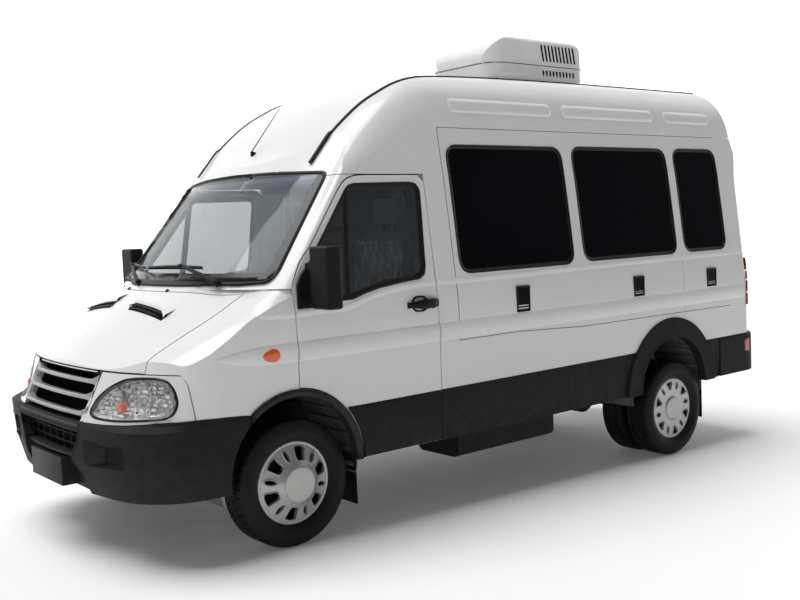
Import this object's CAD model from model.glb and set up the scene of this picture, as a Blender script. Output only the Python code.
import math
import random
import bpy
from mathutils import Matrix, Vector
from mathutils.bvhtree import BVHTree


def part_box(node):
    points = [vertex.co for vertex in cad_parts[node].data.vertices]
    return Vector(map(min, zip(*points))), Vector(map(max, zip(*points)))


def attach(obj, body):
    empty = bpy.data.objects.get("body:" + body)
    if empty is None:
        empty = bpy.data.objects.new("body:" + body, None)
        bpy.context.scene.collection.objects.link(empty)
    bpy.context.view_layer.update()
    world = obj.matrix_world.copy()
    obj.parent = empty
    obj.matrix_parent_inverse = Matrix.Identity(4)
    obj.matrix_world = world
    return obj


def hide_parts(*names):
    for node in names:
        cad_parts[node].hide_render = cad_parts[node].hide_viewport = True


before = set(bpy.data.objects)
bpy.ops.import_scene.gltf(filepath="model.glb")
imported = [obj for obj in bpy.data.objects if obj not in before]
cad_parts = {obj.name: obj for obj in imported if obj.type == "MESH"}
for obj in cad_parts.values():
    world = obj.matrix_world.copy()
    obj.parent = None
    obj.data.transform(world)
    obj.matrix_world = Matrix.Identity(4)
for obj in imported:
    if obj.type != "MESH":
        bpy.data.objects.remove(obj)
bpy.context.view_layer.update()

random.seed(7)

# ------------------------------------------------------------------ frames
RAKE = math.radians(1.75)
SA, CA = math.sin(RAKE), math.cos(RAKE)
CENTRE = 1755.5155
WHEELBASE = 3310.0


def P(x, y, z):
    """Body frame, millimetres, to the row frame in metres."""
    return Vector((x, y * CA - z * SA - CENTRE, y * SA + z * CA)) / 1000


def W(x, y, z):
    """Level frame over the front axle, millimetres, to the row frame."""
    return Vector((x, y - CENTRE, z)) / 1000


UP = Vector((0, -SA, CA))
BACK = Vector((0, CA, SA))


def to_body(v):
    """Row frame in metres back to the body frame in millimetres."""
    y, z = v.y * 1000 + CENTRE, v.z * 1000
    return Vector((v.x * 1000, y * CA + z * SA, -y * SA + z * CA))


def tree(*names):
    verts, polys = [], []
    for n in names:
        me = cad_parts[n].data
        base = len(verts)
        verts += [v.co.copy() for v in me.vertices]
        polys += [[base + i for i in p.vertices] for p in me.polygons]
    return BVHTree.FromPolygons(verts, polys)


side_tree = tree("left_side_panel", "left_front_door", "roof", "front_wings", "windscreen_frame",
                 "side_cladding", "side_windows", "left_door_window")
roof_tree = tree("roof", "windscreen_frame", "windscreen")
screen_tree = tree("windscreen")
nose_tree = tree("bonnet", "front_wings", "front_panel", "headlamps", "windscreen_frame")
front_tree = tree("front_panel", "headlamps", "front_wings")
bumper_tree = tree("front_bumper")
rear_tree = tree("left_rear_door", "left_side_panel", "left_rear_window", "roof", "tail_lamps")
rbump_tree = tree("rear_bumper")


def cast(t, origin, direction, limit=None):
    """Hit point and outward normal; tries beside a gap when the ray goes in."""
    side = direction.cross(Vector((0.3, 0.5, 0.8))).normalized()
    other = direction.cross(side).normalized()
    best = None
    for du, dv in ((0, 0), (.005, 0), (-.005, 0), (0, .005), (0, -.005), (.009, .009), (-.009, -.009),
                   (.009, -.009), (-.009, .009), (.014, 0), (-.014, 0), (0, .014), (0, -.014)):
        loc, nor, _, dist = t.ray_cast(origin + side * du + other * dv, direction)
        if loc is None:
            continue
        if nor.dot(direction) > 0:
            nor = -nor
        if best is None or dist < best[2] - 0.012:
            best = (loc - side * du - other * dv, nor, dist)
    return best


def on_side(y, z, off=0.0):
    hit = cast(side_tree, P(1600, y, z), Vector((-1, 0, 0)))
    if hit is None or hit[0].x < 0.55:
        x = 990 if z < 1250 else 990 - (z - 1250) * 0.13
        return P(x, y, z) + Vector((off / 1000, 0, 0)), Vector((1, 0, 0))
    return hit[0] + hit[1] * (off / 1000), hit[1]


def on_top(x, y, off=0.0):
    hit = cast(roof_tree, P(x, y, 3400), -UP)
    return hit[0] + hit[1] * (off / 1000), hit[1]


def on_nose(x, y, off=0.0):
    hit = cast(nose_tree, P(x, y, 3400), -UP)
    return hit[0] + hit[1] * (off / 1000), hit[1]


def on_screen(x, z, off=0.0):
    hit = cast(screen_tree, P(x, -1400, z), BACK)
    if hit is None:
        return None
    return hit[0] + hit[1] * (off / 1000), hit[1]


def on_front(x, z, off=0.0, t=None):
    hit = cast(t or front_tree, P(x, -1500, z), BACK)
    if hit is None:
        return None
    return hit[0] + hit[1] * (off / 1000), hit[1]


def on_rear(x, z, off=0.0, t=None):
    hit = cast(t or rear_tree, P(x, 5200, z), -BACK)
    if hit is None:
        return None
    return hit[0] + hit[1] * (off / 1000), hit[1]


# --------------------------------------------------------------- materials
def material(name, color, rough=0.5, metal=0.0, coat=0.0, coat_rough=0.05, alpha=1.0, spec=0.5,
             var=0.0, var_scale=3.0, grain=0.0, grain_scale=400.0, wave=0.0, wave_scale=2.0, dust=0.0,
             rough_var=0.0, emit=None, sheen=0.0, ior=1.5, transmission=0.0):
    m = bpy.data.materials.new(name)
    m.use_nodes = True
    nt = m.node_tree
    b = nt.nodes["Principled BSDF"]
    col = tuple(color) + (1,)
    b.inputs["Base Color"].default_value = col
    b.inputs["Roughness"].default_value = rough
    b.inputs["Metallic"].default_value = metal
    b.inputs["Coat Weight"].default_value = coat
    b.inputs["Coat Roughness"].default_value = coat_rough
    b.inputs["Alpha"].default_value = alpha
    b.inputs["Specular IOR Level"].default_value = spec
    b.inputs["IOR"].default_value = ior
    b.inputs["Sheen Weight"].default_value = sheen
    b.inputs["Transmission Weight"].default_value = transmission
    geo = nt.nodes.new("ShaderNodeNewGeometry")
    if emit:
        b.inputs["Emission Color"].default_value = tuple(emit[:3]) + (1,)
        b.inputs["Emission Strength"].default_value = emit[3]
    last = None
    if var or dust:
        noise = nt.nodes.new("ShaderNodeTexNoise")
        noise.inputs["Scale"].default_value = var_scale
        noise.inputs["Detail"].default_value = 6
        nt.links.new(geo.outputs["Position"], noise.inputs["Vector"])
        ramp = nt.nodes.new("ShaderNodeMapRange")
        ramp.inputs["From Min"].default_value = 0.3
        ramp.inputs["From Max"].default_value = 0.7
        ramp.inputs["To Min"].default_value = 1 - var
        ramp.inputs["To Max"].default_value = 1 + var
        nt.links.new(noise.outputs["Fac"], ramp.inputs["Value"])
        mul = nt.nodes.new("ShaderNodeVectorMath")
        mul.operation = "SCALE"
        mul.inputs[0].default_value = color[:3]
        nt.links.new(ramp.outputs["Result"], mul.inputs["Scale"])
        last = mul.outputs["Vector"]
        if dust:
            sep = nt.nodes.new("ShaderNodeSeparateXYZ")
            nt.links.new(geo.outputs["Position"], sep.inputs["Vector"])
            low = nt.nodes.new("ShaderNodeMapRange")
            low.inputs["From Min"].default_value = 1.15
            low.inputs["From Max"].default_value = 0.25
            low.inputs["To Min"].default_value = 0.0
            low.inputs["To Max"].default_value = dust
            nt.links.new(sep.outputs["Z"], low.inputs["Value"])
            n2 = nt.nodes.new("ShaderNodeTexNoise")
            n2.inputs["Scale"].default_value = 22
            n2.inputs["Detail"].default_value = 8
            nt.links.new(geo.outputs["Position"], n2.inputs["Vector"])
            mm = nt.nodes.new("ShaderNodeMath")
            mm.operation = "MULTIPLY"
            nt.links.new(low.outputs["Result"], mm.inputs[0])
            nt.links.new(n2.outputs["Fac"], mm.inputs[1])
            mix = nt.nodes.new("ShaderNodeMix")
            mix.data_type = "RGBA"
            nt.links.new(mm.outputs["Value"], mix.inputs["Factor"])
            nt.links.new(last, mix.inputs["A"])
            mix.inputs["B"].default_value = (0.36, 0.33, 0.28, 1)
            last = mix.outputs["Result"]
        nt.links.new(last, b.inputs["Base Color"])
    if rough_var:
        n3 = nt.nodes.new("ShaderNodeTexNoise")
        n3.inputs["Scale"].default_value = 9
        n3.inputs["Detail"].default_value = 7
        nt.links.new(geo.outputs["Position"], n3.inputs["Vector"])
        r3 = nt.nodes.new("ShaderNodeMapRange")
        r3.inputs["To Min"].default_value = max(0.0, rough - rough_var)
        r3.inputs["To Max"].default_value = min(1.0, rough + rough_var)
        nt.links.new(n3.outputs["Fac"], r3.inputs["Value"])
        nt.links.new(r3.outputs["Result"], b.inputs["Roughness"])
    if grain or wave:
        bump = nt.nodes.new("ShaderNodeBump")
        tex = nt.nodes.new("ShaderNodeTexNoise")
        tex.inputs["Scale"].default_value = grain_scale if grain else wave_scale
        tex.inputs["Detail"].default_value = 4
        nt.links.new(geo.outputs["Position"], tex.inputs["Vector"])
        bump.inputs["Strength"].default_value = grain if grain else wave
        bump.inputs["Distance"].default_value = 0.0006 if grain else 0.004
        nt.links.new(tex.outputs["Fac"], bump.inputs["Height"])
        nt.links.new(bump.outputs["Normal"], b.inputs["Normal"])
    return m


M = {}
M["white"] = material("white_body_paint", (0.79, 0.80, 0.785), rough=0.30, coat=0.35, coat_rough=0.06, var=0.012,
                      var_scale=1.5, dust=0.16, rough_var=0.05, wave=0.05, wave_scale=2.2)
M["charcoal"] = material("charcoal_plastic", (0.0118, 0.0122, 0.0136), rough=0.55, spec=0.07, var=0.12, var_scale=5,
                         grain=0.35, grain_scale=900, dust=0.10, rough_var=0.08)
M["black"] = material("black_plastic", (0.008, 0.008, 0.0095), rough=0.42, spec=0.14, var=0.1, var_scale=8, grain=0.3,
                      grain_scale=1100, rough_var=0.06)
M["rubber"] = material("seal_rubber", (0.007, 0.007, 0.008), rough=0.5, spec=0.22, var=0.15, var_scale=20, grain=0.2,
                       grain_scale=700)
M["flare"] = material("arch_rubber", (0.008, 0.008, 0.009), rough=0.36, spec=0.22, var=0.1, grain=0.15, grain_scale=500,
                      dust=0.12)
M["seam"] = material("seam_shadow", (0.02, 0.02, 0.02), rough=0.9, var=0.1)
M["dark_glass"] = material("dark_side_glass", (0.0022, 0.0026, 0.0034), rough=0.07, var=0.25, var_scale=1.2,
                           spec=0.16, wave=0.03, wave_scale=1.4)
M["cab_glass"] = material("cab_glass", (0.078, 0.084, 0.090), rough=0.04, alpha=0.36, spec=0.30, var=0.04)
M["screen_glass"] = material("windscreen_glass", (0.20, 0.25, 0.27), rough=0.03, alpha=0.30, spec=0.5, var=0.04)
for n_, a_ in (("", 0.86), ("_2", 0.66), ("_3", 0.40), ("_4", 0.16)):
    M["tint_band" + n_] = material("windscreen_tint_band" + n_, (0.085, 0.105, 0.155), rough=0.05, alpha=a_, var=0.04)
M["frit"] = material("windscreen_frit", (0.018, 0.019, 0.023), rough=0.22, spec=0.3, var=0.06)
M["chrome"] = material("lamp_reflector", (0.86, 0.86, 0.85), rough=0.30, metal=0.45, var=0.05, var_scale=40)
M["lens"] = material("lamp_lens", (0.80, 0.82, 0.82), rough=0.05, alpha=0.10, spec=0.6, var=0.02)
M["amber"] = material("amber_lens", (0.80, 0.11, 0.012), rough=0.18, coat=0.6, var=0.06, var_scale=30,
                      grain=0.3, grain_scale=350)
M["red"] = material("red_lens", (0.50, 0.018, 0.015), rough=0.16, coat=0.7, var=0.08, var_scale=30,
                    grain=0.3, grain_scale=300)
M["clear_lens"] = material("clear_ribbed_lens", (0.72, 0.73, 0.75), rough=0.15, coat=0.6, var=0.06,
                           var_scale=40, grain=0.35, grain_scale=320)
M["plate_face"] = material("plate_holder_plastic", (0.026, 0.025, 0.022), rough=0.50, spec=0.2, var=0.08, grain=0.2,
                          grain_scale=700)
M["crease"] = material("bumper_edge_plastic", (0.020, 0.021, 0.024), rough=0.45, spec=0.16, var=0.10, grain=0.25,
                        grain_scale=900)
M["mesh_wire"] = material("mesh_wire", (0.050, 0.050, 0.053), rough=0.5, spec=0.2, var=0.1)
M["liner"] = material("arch_liner", (0.070, 0.064, 0.054), rough=0.75, var=0.3, var_scale=5, grain=0.5,
                      grain_scale=90, dust=0.5)
M["lamp_grey"] = material("lamp_inner_grey", (0.55, 0.57, 0.59), rough=0.25, var=0.08, coat=0.4)
M["lamp_white"] = material("lamp_inner_white", (0.90, 0.90, 0.89), rough=0.15, var=0.03, coat=0.6)
M["lamp_beige"] = material("lamp_inner_beige", (0.62, 0.57, 0.48), rough=0.3, var=0.08, coat=0.4)
M["lamp_dark"] = material("lamp_inner_dark", (0.13, 0.13, 0.16), rough=0.2, var=0.08, coat=0.6)
M["wheel_line"] = material("wheel_cover_line", (0.20, 0.20, 0.20), rough=0.5, var=0.05)
M["silver"] = material("silver_trim", (0.35, 0.352, 0.355), rough=0.32, metal=0.05, coat=0.4, var=0.03,
                       rough_var=0.05)
M["wheel"] = material("wheel_cover_silver", (0.50, 0.495, 0.48), rough=0.34, metal=0.45, coat=0.3, var=0.04,
                      var_scale=14, rough_var=0.08, grain=0.08, grain_scale=600)
M["tyre"] = material("tyre_rubber", (0.0075, 0.0075, 0.008), rough=0.62, spec=0.25, var=0.22, var_scale=16, grain=0.3,
                     grain_scale=420, rough_var=0.1)
M["steel"] = material("chassis_black", (0.014, 0.014, 0.0145), rough=0.6, spec=0.15, var=0.2, var_scale=7, grain=0.25,
                      grain_scale=160, rough_var=0.1)
M["cast"] = material("cast_metal", (0.12, 0.12, 0.125), rough=0.62, metal=0.6, var=0.2, var_scale=12,
                     grain=0.5, grain_scale=220)
M["under"] = material("underbody_coating", (0.055, 0.052, 0.05), rough=0.85, var=0.25, var_scale=6, grain=0.6,
                      grain_scale=120)
M["exhaust"] = material("exhaust_steel", (0.28, 0.24, 0.20), rough=0.5, metal=0.8, var=0.25, var_scale=9,
                        grain=0.3, grain_scale=200)
M["dash"] = material("dash_plastic", (0.10, 0.10, 0.105), rough=0.6, var=0.08, grain=0.5, grain_scale=700)
M["lining"] = material("cab_lining", (0.30, 0.30, 0.29), rough=0.8, var=0.05, grain=0.3, grain_scale=500)
M["white_ac"] = material("roof_unit_plastic", (0.90, 0.90, 0.88), rough=0.34, var=0.02, coat=0.3,
                         grain=0.12, grain_scale=500, rough_var=0.05)
M["slot"] = material("slot_black", (0.006, 0.006, 0.0065), rough=0.9, spec=0.05, var=0.1)
M["mesh"] = material("grille_backing", (0.014, 0.014, 0.015), rough=0.7, var=0.15, grain=0.4, grain_scale=250)
M["mirror"] = material("mirror_glass", (0.75, 0.77, 0.8), rough=0.02, metal=1.0, var=0.02)
M["film"] = material("seat_film", (0.86, 0.90, 0.92), rough=0.16, alpha=0.80, var=0.05, wave=0.9, wave_scale=26)
M["bolt"] = material("zinc_bolt", (0.42, 0.42, 0.42), rough=0.35, metal=0.9, var=0.08)
M["floor_mat"] = material("floor_covering", (0.12, 0.12, 0.13), rough=0.7, var=0.1, grain=0.4, grain_scale=260)


def fabric():
    m = material("seat_cloth", (0.12, 0.125, 0.14), rough=0.85, var=0.1, var_scale=40, sheen=0.25)
    nt = m.node_tree
    b = nt.nodes["Principled BSDF"]
    geo = nt.nodes.new("ShaderNodeNewGeometry")
    w1 = nt.nodes.new("ShaderNodeTexWave")
    w1.inputs["Scale"].default_value = 90
    w1.bands_direction = "X"
    w2 = nt.nodes.new("ShaderNodeTexWave")
    w2.inputs["Scale"].default_value = 90
    w2.bands_direction = "Z"
    add = nt.nodes.new("ShaderNodeMath")
    bump = nt.nodes.new("ShaderNodeBump")
    bump.inputs["Strength"].default_value = 0.4
    bump.inputs["Distance"].default_value = 0.0008
    for w in (w1, w2):
        nt.links.new(geo.outputs["Position"], w.inputs["Vector"])
    nt.links.new(w1.outputs["Fac"], add.inputs[0])
    nt.links.new(w2.outputs["Fac"], add.inputs[1])
    nt.links.new(add.outputs["Value"], bump.inputs["Height"])
    nt.links.new(bump.outputs["Normal"], b.inputs["Normal"])
    return m


M["cloth"] = fabric()


def crinkled():
    m = material("seat_film", (0.86, 0.90, 0.92), rough=0.16, alpha=0.80)
    nt = m.node_tree
    b = nt.nodes["Principled BSDF"]
    geo = nt.nodes.new("ShaderNodeNewGeometry")
    scl = nt.nodes.new("ShaderNodeVectorMath")
    scl.operation = "MULTIPLY"
    scl.inputs[1].default_value = (1.9, 1.0, 0.8)
    noise = nt.nodes.new("ShaderNodeTexNoise")
    noise.inputs["Scale"].default_value = 11
    noise.inputs["Detail"].default_value = 7
    noise.inputs["Distortion"].default_value = 2.2
    ramp = nt.nodes.new("ShaderNodeMapRange")
    ramp.inputs["From Min"].default_value = 0.46
    ramp.inputs["From Max"].default_value = 0.66
    ramp.inputs["To Min"].default_value = 0.28
    ramp.inputs["To Max"].default_value = 1.5
    mul = nt.nodes.new("ShaderNodeVectorMath")
    mul.operation = "SCALE"
    mul.inputs[0].default_value = (0.62, 0.68, 0.70)
    nt.links.new(geo.outputs["Position"], scl.inputs[0])
    nt.links.new(scl.outputs["Vector"], noise.inputs["Vector"])
    nt.links.new(noise.outputs["Fac"], ramp.inputs["Value"])
    nt.links.new(ramp.outputs["Result"], mul.inputs["Scale"])
    nt.links.new(mul.outputs["Vector"], b.inputs["Base Color"])
    return m


M["film"] = crinkled()

NODE_MAT = {"white": ["left_side_panel", "right_side_panel", "sliding_door", "roof", "windscreen_frame", "bonnet",
                      "front_wings", "front_panel", "left_front_door", "right_front_door", "left_rear_door",
                      "right_rear_door"],
            "charcoal": ["front_bumper", "rear_bumper", "side_cladding"],
            "black": ["left_mirror", "right_mirror", "steering_wheel", "wipers", "mud_flaps"],
            "dark_glass": ["side_windows", "left_rear_window", "right_rear_window"],
            "cab_glass": ["left_door_window", "right_door_window"], "screen_glass": ["windscreen"],
            "lens": ["headlamps"], "red": ["tail_lamps"], "silver": ["grille"], "white_ac": ["roof_air_conditioner"],
            "steel": ["chassis_frame", "fuel_tank", "propshaft", "front_suspension", "rear_axle", "leaf_springs"],
            "cast": ["engine_block", "radiator", "left_knuckle", "right_knuckle"], "under": ["floor_pan"],
            "exhaust": ["exhaust"], "dash": ["dashboard"], "cloth": ["front_seats"],
            "tyre": ["left_front_tyre", "right_front_tyre", "left_rear_tyres", "right_rear_tyres"],
            "wheel": ["left_front_wheel", "right_front_wheel", "left_rear_wheels", "right_rear_wheels"]}
for key, names in NODE_MAT.items():
    for n in names:
        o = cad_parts[n]
        if not o.material_slots:
            o.data.materials.append(M[key])
        for s in o.material_slots:
            s.material = M[key]


# ------------------------------------------------------------ mesh helpers
def smooth_by_angle(me, deg=38):
    for p in me.polygons:
        p.use_smooth = True
    try:
        me.set_sharp_from_angle(angle=math.radians(deg))
    except Exception:
        pass


def make(name, verts, faces, mat, body, deg=38, mats=None, face_mats=None):
    me = bpy.data.meshes.new(name)
    me.from_pydata([tuple(v) for v in verts], [], faces)
    me.validate()
    me.update()
    for m in (mats or [mat]):
        me.materials.append(M[m])
    if face_mats:
        for p, i in zip(me.polygons, face_mats):
            p.material_index = i
    smooth_by_angle(me, deg)
    ob = bpy.data.objects.new(name, me)
    bpy.context.scene.collection.objects.link(ob)
    if body:
        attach(ob, body)
    return ob


class Build:
    """Collects rings, boxes and sheets into one mesh."""

    def __init__(self):
        self.v, self.f, self.m = [], [], []
        self.k = 0

    def quad(self, a, b, c, d):
        i = len(self.v)
        self.v += [a, b, c, d]
        self.f.append((i, i + 1, i + 2, i + 3))
        self.m.append(self.k)

    def grid(self, rows, close_u=False, close_v=False):
        """rows: list of lists of points."""
        base = len(self.v)
        nu, nv = len(rows), len(rows[0])
        for r in rows:
            self.v += list(r)
        for i in range(nu if close_u else nu - 1):
            for j in range(nv if close_v else nv - 1):
                a = base + i * nv + j
                b = base + i * nv + (j + 1) % nv
                c = base + ((i + 1) % nu) * nv + (j + 1) % nv
                d = base + ((i + 1) % nu) * nv + j
                self.f.append((a, b, c, d))
                self.m.append(self.k)

    def cap(self, ring, flip=False):
        i = len(self.v)
        self.v += list(ring)
        idx = list(range(i, i + len(ring)))
        self.f.append(tuple(reversed(idx)) if flip else tuple(idx))
        self.m.append(self.k)

    def loft(self, rings, caps=True):
        self.grid(rings, close_v=True)
        if caps:
            self.cap(rings[0], flip=True)
            self.cap(rings[-1])

    def box(self, o, ax, ay, az, bevel=0.0):
        """o: centre; ax, ay, az: half-edge vectors; with bevelled edges."""
        lx, ly, lz = ax.length, ay.length, az.length
        ux, uy, uz = ax.normalized(), ay.normalized(), az.normalized()
        b = min(bevel, lx * 0.45, ly * 0.45, lz * 0.45)

        def ring(h, s):
            pts = []
            hx, hy = lx - s, ly - s
            n = 3 if b > 0 else 1
            for cx, cy, a0 in ((1, 1, 0), (-1, 1, 90), (-1, -1, 180), (1, -1, 270)):
                if b > 0:
                    for k in range(n + 1):
                        a = math.radians(a0 + 90 * k / n)
                        pts.append(o + ux * (cx * (hx - b) + b * math.cos(a)) + uy * (cy * (hy - b) + b * math.sin(a))
                                   + uz * h)
                else:
                    pts.append(o + ux * cx * hx + uy * cy * hy + uz * h)
            return pts
        if b > 0:
            rings = [ring(-lz, b * 0.7), ring(-lz + b * 0.4, b * 0.2), ring(-lz + b, 0), ring(lz - b, 0),
                     ring(lz - b * 0.4, b * 0.2), ring(lz, b * 0.7)]
        else:
            rings = [ring(-lz, 0), ring(lz, 0)]
        self.loft(rings)

    def tube(self, pts, r, n=10, caps=True, radii=None):
        rings = []
        prev = None
        for i, p in enumerate(pts):
            t = (pts[min(i + 1, len(pts) - 1)] - pts[max(i - 1, 0)]).normalized()
            if prev is None:
                side = t.orthogonal().normalized()
            else:
                side = (prev - t * prev.dot(t)).normalized()
            prev = side
            up = t.cross(side)
            rr = radii[i] if radii else r
            rings.append([p + side * (rr * math.cos(2 * math.pi * k / n)) + up * (rr * math.sin(2 * math.pi * k / n))
                          for k in range(n)])
        self.loft(rings, caps)

    def lathe(self, o, axis, profile, n=48, a0=0.0):
        """profile: (along axis, radius) in metres."""
        axis = axis.normalized()
        u = axis.orthogonal().normalized()
        w = axis.cross(u)
        rows = []
        for k in range(n):
            a = a0 + 2 * math.pi * k / n
            d = u * math.cos(a) + w * math.sin(a)
            rows.append([o + axis * h + d * r for h, r in profile])
        self.grid(rows, close_u=True)

    def out(self, name, mats, body, deg=38):
        ob = make(name, self.v, self.f, None, body, deg, mats=mats, face_mats=self.m)
        me = ob.data
        # outward normals
        import bmesh
        bm = bmesh.new()
        bm.from_mesh(me)
        bmesh.ops.remove_doubles(bm, verts=bm.verts, dist=1e-6)
        bmesh.ops.recalc_face_normals(bm, faces=bm.faces)
        bm.to_mesh(me)
        bm.free()
        smooth_by_angle(me, deg)
        return ob


def mirror_of(ob, name, body):
    me = ob.data.copy()
    for v in me.vertices:
        v.co.x = -v.co.x
    me.flip_normals()
    ob2 = bpy.data.objects.new(name, me)
    bpy.context.scene.collection.objects.link(ob2)
    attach(ob2, body)
    return ob2


def resample(pts, step, closed=False):
    """Even spacing along a polyline of 2-D points."""
    pts = [Vector((p[0], p[1])) for p in pts]
    if closed:
        pts = pts + [pts[0]]
    seg = [(b - a).length for a, b in zip(pts, pts[1:])]
    total = sum(seg)
    n = max(2, int(round(total / step)))
    out = []
    for i in range(n if closed else n + 1):
        d = total * i / n
        for k, s in enumerate(seg):
            if d <= s or k == len(seg) - 1:
                out.append(pts[k].lerp(pts[k + 1], min(1, d / s if s else 0)))
                break
            d -= s
    return out


def rounded(pts, r, n=5):
    """Closed polygon with rounded corners."""
    out = []
    m = len(pts)
    pts = [Vector((p[0], p[1])) for p in pts]
    for i in range(m):
        a, b, c = pts[i - 1], pts[i], pts[(i + 1) % m]
        u, v = (a - b), (c - b)
        ang = u.angle(v)
        rr = min(r, 0.45 * min(u.length, v.length) * math.tan(ang / 2))
        t = rr / math.tan(ang / 2)
        p, q = b + u.normalized() * t, b + v.normalized() * t
        for k in range(n + 1):
            s = k / n
            out.append((1 - s) ** 2 * p + 2 * s * (1 - s) * b + s * s * q)
    return out


def offset_loop(pts, d):
    """Closed loop moved inwards by d (positive), by local normals."""
    m = len(pts)
    area = sum(pts[i].x * pts[(i + 1) % m].y - pts[(i + 1) % m].x * pts[i].y for i in range(m))
    sgn = 1 if area > 0 else -1
    out = []
    for i in range(m):
        t = (pts[(i + 1) % m] - pts[i - 1]).normalized()
        nrm = Vector((-t.y, t.x)) * sgn
        out.append(pts[i] + nrm * d)
    return out


def ribbon(name, loop, section, mat, body, on, closed=True, step=14, mirror_body=None, mirror_name=None):
    """A section of (inward offset, height) points swept along an outline that lies on a surface."""
    pts = resample(loop, step, closed)
    cols = []
    for d, h in section:
        if closed:
            q = offset_loop(pts, d)
        else:
            q = []
            for i, p in enumerate(pts):
                t = (pts[min(i + 1, len(pts) - 1)] - pts[max(i - 1, 0)]).normalized()
                q.append(p + Vector((-t.y, t.x)) * d)
        col = []
        for p in q:
            hit = on(p.x, p.y, h)
            col.append(hit[0] if hit else None)
        cols.append(col)
    b = Build()
    rows = []
    for i in range(len(pts)):
        row = [c[i] for c in cols]
        if any(v is None for v in row):
            continue
        rows.append(row)
    b.grid(rows, close_u=closed)
    if not closed:
        b.cap(rows[0], flip=True)
        b.cap(rows[-1])
    ob = b.out(name, [mat], body)
    if mirror_body:
        mirror_of(ob, mirror_name or name.replace("left", "right"), mirror_body)
    return ob


def bead(w, h, sink=3.0):
    """Rounded strip section of width w and height h over its surface."""
    return [(-w / 2, -sink), (-w / 2, h * 0.3), (-w * 0.38, h * 0.8), (-w * 0.2, h), (w * 0.2, h), (w * 0.38, h * 0.8),
            (w / 2, h * 0.3), (w / 2, -sink)]


def flat(w, h=0.6, sink=1.0):
    return [(-w / 2, -sink), (-w / 2, h), (w / 2, h), (w / 2, -sink)]


def pad(name, outline, height, edge, mat, body, on, step=12, sink=0.5, mirror_body=None, mirror_name=None):
    """A raised pad with a closed outline: rings move inwards while its height grows."""
    loop = resample(outline, step, True)
    rings = []
    profile = [(0, -sink), (0.0, 0.2 * height * 0), (edge * 0.25, height * 0.42), (edge * 0.6, height * 0.86),
               (edge, height)]
    for d, h in profile:
        q = offset_loop(loop, d)
        ring = []
        for p in q:
            hit = on(p.x, p.y, h)
            ring.append(hit[0] if hit else None)
        rings.append(ring)
    keep = [i for i in range(len(loop)) if all(r[i] is not None for r in rings)]
    rings = [[r[i] for i in keep] for r in rings]
    b = Build()
    b.grid(rings, close_v=True)
    # top filled towards the middle line in a few steps
    inner = offset_loop(loop, edge)
    c = Vector((sum(p.x for p in inner) / len(inner), sum(p.y for p in inner) / len(inner)))
    ext = max(abs(p.x - c.x) for p in inner), max(abs(p.y - c.y) for p in inner)
    rows = [rings[-1]]
    for s in (0.75, 0.5, 0.25):
        row = []
        for i in keep:
            p = inner[i]
            if ext[0] > ext[1]:
                far = max(0.0, ext[0] - ext[1])
                cx = c.x + max(-far, min(far, p.x - c.x))
                target = Vector((cx, c.y))
            else:
                far = max(0.0, ext[1] - ext[0])
                cy = c.y + max(-far, min(far, p.y - c.y))
                target = Vector((c.x, cy))
            q = target.lerp(p, s)
            row.append(on(q.x, q.y, height)[0])
        rows.append(row)
    b.grid(rows, close_v=True)
    b.cap(rows[-1])
    ob = b.out(name, [mat], body, 50)
    if mirror_body:
        mirror_of(ob, mirror_name or name.replace("left", "right"), mirror_body)
    return ob


def rect(y0, y1, z0, z1, r=0, n=5):
    pts = [(y0, z0), (y1, z0), (y1, z1), (y0, z1)]
    return rounded(pts, r, n) if r else [Vector(p) for p in pts]


# ------------------------------------------------------------ side windows
WINDOWS = [(1217, 2248, 1376, 2144), (2350, 3392, 1384, 2150), (3488, 4030, 1388, 2153)]
window_seal = [(-4, -6), (-4, 2), (-1, 5), (6, 6.5), (14, 5.5), (20, 1), (24, -3), (40, -4.5), (40, -12)]
for i, (y0, y1, z0, z1) in enumerate(WINDOWS):
    ribbon("left_window_seal_%d" % (i + 1), rect(y0, y1, z0, z1, 92, 8), window_seal, "rubber", "body", on_side,
           step=16, mirror_body="body")

# ----------------------------------------------------------- cab side glass
DOOR_GLASS = [(70, 1292), (70, 1402), (220, 1598), (436, 1882), (462, 1906), (500, 1916), (900, 1921),
              (945, 1912), (968, 1880), (968, 1840), (944, 1440), (930, 1392), (890, 1370), (746, 1358),
              (598, 1341), (491, 1319), (400, 1292)]
door_seal = [(-5, -4), (-5, 2), (-1, 4.5), (6, 5), (14, 4), (22, 0), (30, -8), (30, -18)]
ribbon("left_door_seal", [Vector(p) for p in DOOR_GLASS], door_seal, "rubber", "left_front_door", on_side, step=14,
       mirror_body="right_front_door")
# quarter-light bar
b = Build()
rows = []
for k in range(13):
    z = 1300 + (1885 - 1300) * k / 12
    y = 382 + (448 - 382) * k / 12
    row = []
    for dy, h in ((-19, -14), (-19, -2), (-12, 2), (12, 2), (19, -2), (19, -14)):
        row.append(on_side(y + dy, z, h)[0])
    rows.append(row)
b.grid(rows)
bar = b.out("left_quarter_light_bar", ["rubber"], "left_front_door")
mirror_of(bar, "right_quarter_light_bar", "right_front_door")

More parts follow.
